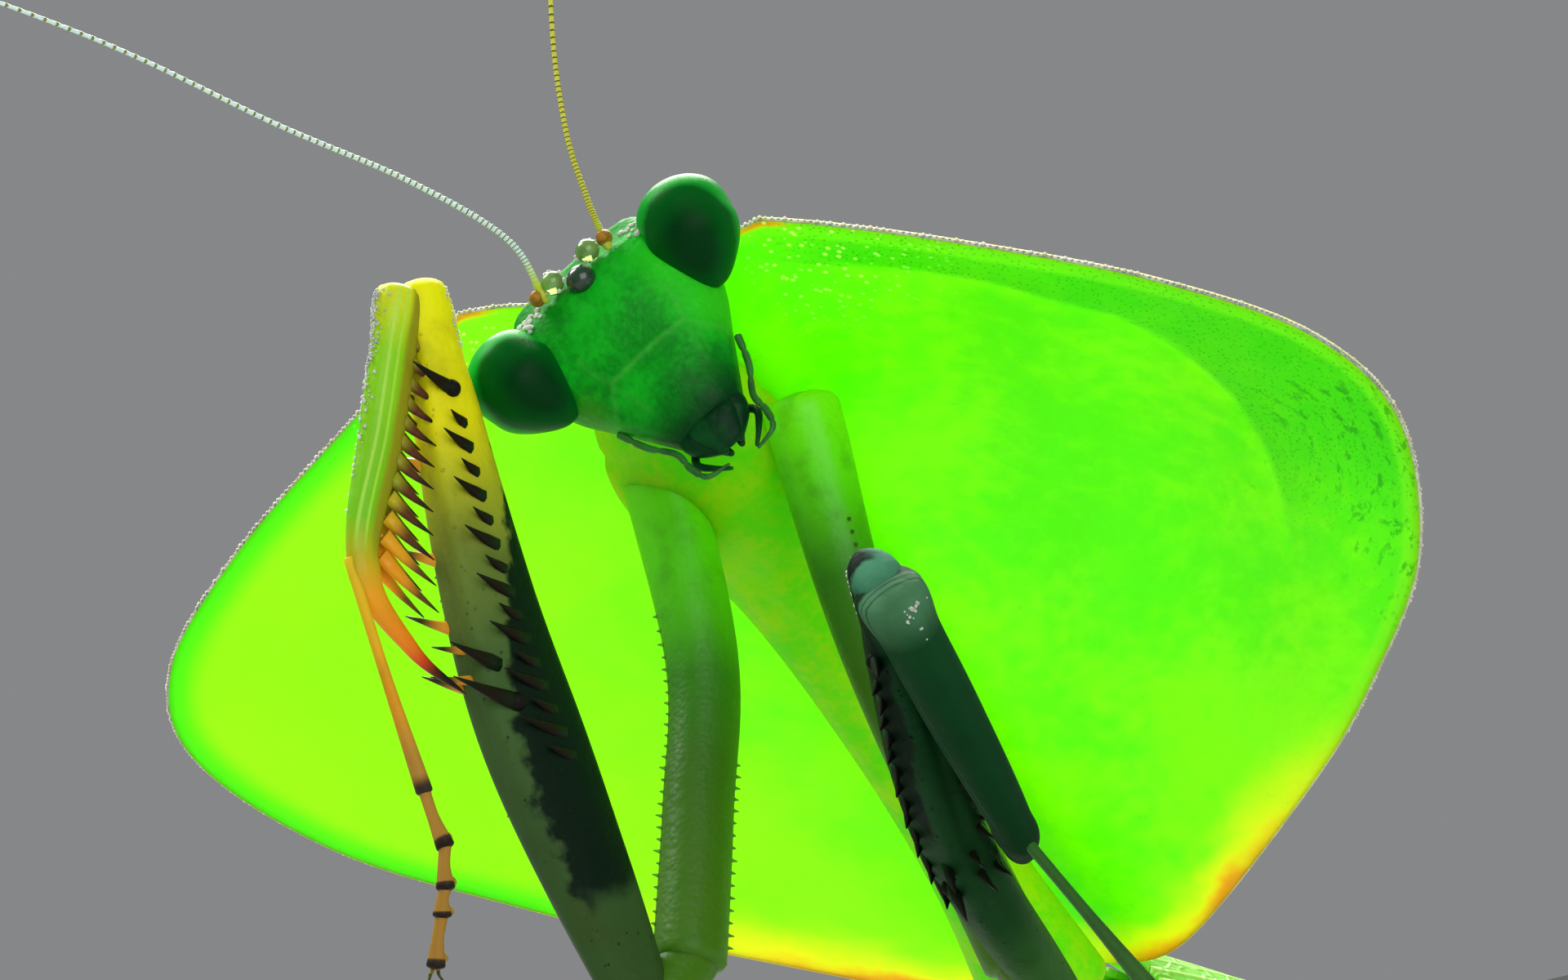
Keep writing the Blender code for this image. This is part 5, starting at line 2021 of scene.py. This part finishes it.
@dataclass
class HindBody:
    """The winged part of the thorax and the abdomen with its two cerci.

    Attributes:
        thorax: The thorax's middle line.
        thorax_sizes: Its widths and depths.
        seams: Where its plates meet, as shares of its length.
        abdomen: The abdomen's middle line.
        abdomen_sizes: Its widths and depths.
        segments: How many rings the abdomen shows.
        cercus: The left cercus's middle line.
        beads: How many beads a cercus has.
    """

    thorax: tuple = ((0.0, 0.3, -1.0), (0.0, 2.6, -0.8), (0.0, 5.2, -0.6), (0.0, 8.7, -0.5))
    thorax_sizes: tuple = ((3.4, 2.6), (5.6, 4.6), (6.4, 5.0), (6.2, 4.6))
    seams: tuple = (0.2, 0.46, 0.7, 0.88)
    abdomen: tuple = (
        (0.0, 8.8, -0.5), (0.0, 13.5, -0.5), (0.0, 18.5, -0.5), (0.0, 23.5, -0.4), (0.0, 28.0, -0.3),
        (0.0, 31.4, -0.2),
    )
    abdomen_sizes: tuple = ((6.2, 4.5), (8.0, 4.6), (8.6, 4.4), (8.0, 3.8), (6.0, 2.9), (2.6, 1.5))
    segments: int = 8
    cercus: tuple = ((0.8, 30.6, -0.6), (1.4, 32.2, -0.8), (1.9, 34.0, -0.9))
    beads: int = 9

    def plates(self, t: float, degrees: float) -> float:
        """Seams between the thorax's plates, and a groove along its breast.

        Args:
            t: The share of the length.
            degrees: The angle round it.

        Returns:
            The section's scale.
        """
        seams = max(bell(t - place, 0.012) for place in self.seams)
        slant = bell(t - 0.33 + 0.0012 * abs(degrees), 0.02)
        return 1 - 0.06 * seams - 0.03 * slant - 0.05 * bell(degrees + 90, 9.0)

    def rings(self, t: float, degrees: float) -> float:
        """The abdomen's overlapping rings, parted by a fold along each side.

        Args:
            t: The share of the length.
            degrees: The angle round it.

        Returns:
            The section's scale.
        """
        spot = (t * self.segments) % 1.0
        overlap = 0.035 * rise(0.0, 0.85, spot) * rise(1.0, 0.93, spot)
        side = min(abs(degrees + 12), abs(abs(degrees + 12) - 156))
        return 0.98 + overlap - 0.07 * bell(side, 7.0)

    def cercus_shape(self, t: float, degrees: float) -> float:
        """The beads of a cercus."""
        return 1 + 0.08 * math.cos(t * math.tau * self.beads)

    def build(self) -> None:
        """Make the thorax, the abdomen and the cerci."""
        blank = Blank()
        thorax = Limb(self.thorax, self.thorax_sizes, ACROSS, -1.0, self.plates)
        thorax.build(blank, 90, 60, (0.3, 0.05), placed=True)
        blank.finish("winged_thorax", STANCE.hind_body, TRUNK, "body_green", "pterothorax")
        blank = Blank()
        abdomen = Limb(self.abdomen, self.abdomen_sizes, ACROSS, -1.0, self.rings)
        abdomen.build(blank, 160, 60, (0.05, 0.4), placed=True)
        blank.finish("abdomen_rings", STANCE.hind_body, BELLY, "body_green", "abdomen")
        for side in Side:
            blank, name = Blank(), side.value
            path = [(x * side.sign, y, z) for x, y, z in self.cercus]
            cercus = Limb(path, ((0.7, 0.6), (0.55, 0.5), (0.16, 0.16)), ACROSS, shape=self.cercus_shape)
            cercus.build(blank, 60, 16, (0.1, 0.1))
            blank.finish(f"cercus_beads_{name}", STANCE.hind_body, BELLY, "body_green", f"cercus_{name}")


@dataclass
class Wing:
    """A folded leathery fore wing, which overlaps its fellow along the back.

    Attributes:
        side: Whose wing it is; the left one lies on top.
        half_widths: From the midline to the outer edge, from root to tip.
        heights: Of its crest above the body's axis, from root to tip.
        span: Where it starts and ends behind the waist.
        tip_start: Where the rounding of its tip begins, as a share of the length.
        lift: How far each wing is off their common height.
        droop: How far the outer edge hangs.
        veins: The long veins, as shares of the width.
        thickness: Of the wing, in millimetres.
        mesh: How many faces it has across and along.
    """

    side: Side
    half_widths: tuple = (1.9, 4.3, 7.2, 8.8, 9.0, 8.6, 7.8, 7.2)
    heights: tuple = (2.2, 2.8, 2.9, 2.8, 2.5, 2.1, 1.6, 1.1)
    span: tuple[float, float] = (1.9, 38.0)
    tip_start: float = 0.72
    lift: float = 0.4
    droop: float = 1.7
    veins: tuple = (0.12, 0.24, 0.36, 0.5, 0.66, 0.8, 0.9)
    thickness: float = 0.22
    mesh: tuple[int, int] = (110, 150)

    def vein(self, across: float, back: float) -> float:
        """How strongly a point lies on a long vein."""
        fan = [share + 0.1 * (share - 0.3) * (1 - back) for share in self.veins]
        return max(bell(across - share, 0.012) for share in fan)

    def point(self, across: float, back: float) -> Vector:
        """Find a point of the wing.

        Args:
            across: The share of the width, from the midline outwards.
            back: The share of the length, crowded towards the tip.

        Returns:
            The point.
        """
        vein = self.vein(across, back)
        back = 1 - (1 - back) ** 1.6
        rounding = math.sqrt(1 - max(0.0, (back - self.tip_start) / (1 - self.tip_start)) ** 2)
        outer = max(along([(w, w) for w in self.half_widths], back).x * rounding, 0.7)
        inner = -0.16 * outer
        x = inner + (outer - inner) * across
        lift = self.lift * self.side.sign * (1 - rise(2.0, 5.0, x))
        z = along([(h, h) for h in self.heights], back).x + lift - self.droop * (x / outer) ** 2
        y = self.span[0] + (self.span[1] - self.span[0]) * back
        z += 0.05 * vein + 0.05 * math.sin(across * 9 + back * 14) * rise(0.1, 0.3, back)
        return Vector((x * self.side.sign, y, z))

    def build(self) -> None:
        """Make the wing."""
        blank, name, wall = Blank(), self.side.value, self.thickness
        strengths: dict[tuple, float] = {}

        def point_at(across: float, back: float) -> Vector:
            """Find a point, and note how strongly it lies on a vein.

            Args:
                across: The share of the width.
                back: The share of the length.

            Returns:
                The point.
            """
            spot = self.point(across, back)
            strengths[tuple(spot)] = self.vein(across, back)
            return spot

        for vert in blank.plate(*self.mesh, point_at):
            vert[blank.accent] = strengths.get(tuple(vert.co), 0.0)
        blank.finish(
            f"fore_wing_{name}", STANCE.hind_body, WING, "wing_green", f"tegmen_{name}", thickness=wall
        )


# The studio


@dataclass(frozen=True)
class Lamp:
    """A square soft light.

    Attributes:
        name: Its name.
        place: Where it stands, in millimetres.
        size: Its side, in millimetres.
        power: Watts.
        tint: Its colour.
    """

    name: str
    place: tuple[float, float, float]
    size: float
    power: float
    tint: Colour = (1.0, 1.0, 1.0)

    def build(self, aim: Vector) -> None:
        """Hang it and turn it to what it lights.

        Args:
            aim: The middle of what it lights, in millimetres.
        """
        data = bpy.data.lights.new(self.name, "AREA")
        data.shape = "SQUARE"
        data.size = self.size * MM
        data.energy = self.power
        data.color = self.tint
        lamp = bpy.data.objects.new(self.name, data)
        lamp.location = Vector(self.place) * MM
        lamp.rotation_euler = (aim * MM - lamp.location).to_track_quat("-Z", "Y").to_euler()
        bpy.context.scene.collection.objects.link(lamp)


@dataclass(frozen=True)
class Studio:
    """The pale floor, the lights and the camera.

    Attributes:
        camera_place: Where the camera stands, in millimetres.
        camera_turn: How it is turned, in degrees.
        lens: Its focal length, in millimetres.
        lamps: The soft lights.
        aim: What they are turned to, in millimetres.
        air: The colour and strength of the light from all round.
        tones: The two shades of the floor.
    """

    camera_place: tuple = (83.06, -162.26, 21.42)
    camera_turn: tuple = (94.44, 13.86, 29.33)
    lens: float = 157.43
    lamps: tuple[Lamp, ...] = (
        Lamp("back_light", (-60.0, 150.0, 190.0), 150.0, 0.85, (1.0, 1.0, 0.94)),
        Lamp("top_light", (-110.0, -10.0, 210.0), 90.0, 0.3),
        Lamp("front_light", (190.0, -190.0, 120.0), 200.0, 0.36),
    )
    aim: tuple = (0.0, -12.0, 32.0)
    air: tuple[Colour, float] = ((0.8, 0.81, 0.83), 0.3)
    tones: tuple[Colour, Colour] = ((0.46, 0.46, 0.45), (0.5, 0.5, 0.49))

    def build_floor(self) -> None:
        """A plain pale floor."""
        bm = bmesh.new()
        bmesh.ops.create_grid(bm, x_segments=1, y_segments=1, size=FLOOR_SIZE / 2)
        mesh = bpy.data.meshes.new("floor")
        bm.to_mesh(mesh)
        bm.free()
        made = bpy.data.materials.new("pale_floor")
        made.use_nodes = True
        board = Board(made.node_tree)
        where = board.add("ShaderNodeTexCoord", {}).outputs["Object"]
        shader = made.node_tree.nodes["Principled BSDF"]
        board.feed(shader.inputs["Base Color"], board.mix(board.noise(where, 3.0), *self.tones))
        shader.inputs["Roughness"].default_value = 0.7
        mesh.materials.append(made)
        floor = bpy.data.objects.new("floor", mesh)
        bpy.context.scene.collection.objects.link(floor)

    def build(self) -> None:
        """Set up the whole studio."""
        self.build_floor()
        for lamp in self.lamps:
            lamp.build(Vector(self.aim))
        scene = bpy.context.scene
        world = bpy.data.worlds.new("studio_air")
        world.use_nodes = True
        air = world.node_tree.nodes["Background"]
        air.inputs["Color"].default_value = (*self.air[0], 1.0)
        air.inputs["Strength"].default_value = self.air[1]
        scene.world = world
        scene.view_settings.view_transform = "Standard"
        data = bpy.data.cameras.new("camera")
        data.lens = self.lens
        data.sensor_width = 36.0
        data.clip_start = 0.01
        camera = bpy.data.objects.new("camera", data)
        camera.location = Vector(self.camera_place) * MM
        camera.rotation_euler = [math.radians(angle) for angle in self.camera_turn]
        scene.collection.objects.link(camera)
        scene.camera = camera


FORE_LEGS = (
    ForeLeg(
        Side.RIGHT,
        coxa=((-0.9, 4.95, -1.8), (-0.25, 8.2, -6.1), (-0.3, 9.9, -9.8), (-0.4, 11.5, -13.6)),
        femur=((-1.0, 11.5, -15.6), (-1.55, -3.9, -5.4)),
        bow=(0.7, -0.2),
        belly_way=(-0.34, -0.50, -0.80),
        fold=31.0,
        tarsus=((-2.4, 3.1, -15.7), (-2.0, 4.0, -16.8), (-2.1, 4.6, -17.6), (-2.6, 5.7, -19.0)),
    ),
    ForeLeg(
        Side.LEFT,
        coxa=((3.3, 4.9, -1.5), (4.0, 9.6, -6.0), (6.1, 15.6, -11.4)),
        femur=((7.3, 16.5, -12.6), (12.1, 0.0, -16.7)),
        girth=1.25, bow=(0.3, 0.9),
        belly_way=(0.55, 0.34, -0.76),
        fold=20.5,
        tarsus=((13.4, 11.8, -18.6), (13.8, 12.9, -19.2), (14.2, 13.8, -19.9), (15.0, 15.1, -21.1)),
    ),
)

WALKING_LEGS = {
    Pair.MID: (
        ((2.0, 2.0, 16.6), (4.2, 0.6, 13.8), (15.6, -6.2, 12.6), (18.6, -8.4, 1.3), (24.2, -12.2, 0.3)),
        1.25,
    ),
    Pair.HIND: (
        ((2.0, 6.4, 14.4), (4.2, 7.2, 11.4), (15.6, 17.4, 14.6), (21.6, 25.8, 1.3), (26.6, 31.4, 0.3)),
        1.35,
    ),
}

FEELER_PATHS = {
    Side.LEFT: (
        (2.1, -2.1, -2.9), (1.9, -3.1, -2.2), (1.6, -4.5, -0.7), (1.6, -6.5, 1.9), (2.2, -10.0, 6.8),
        (3.8, -14.7, 14.7),
    ),
    Side.RIGHT: (
        (0.5, -1.9, -4.1), (0.3, -3.6, -3.7), (-1.0, -6.1, -3.9), (-2.5, -9.3, -5.0),
        (-4.0, -13.9, -6.9), (-5.5, -20.1, -10.7),
    ),
}


def main() -> None:
    """Build the whole model."""
    logging.basicConfig(level=logging.INFO, format="%(message)s")
    Studio().build()
    Shield().build()
    Prothorax().build()
    Head().build()
    for side, path in FEELER_PATHS.items():
        Feeler(side, path).build()
    for leg in FORE_LEGS:
        leg.build()
    HindBody().build()
    for side in Side:
        Wing(side).build()
        for pair, (joints, width) in WALKING_LEGS.items():
            WalkingLeg(pair, side, joints, width).build()


if __name__ == "__main__":
    main()
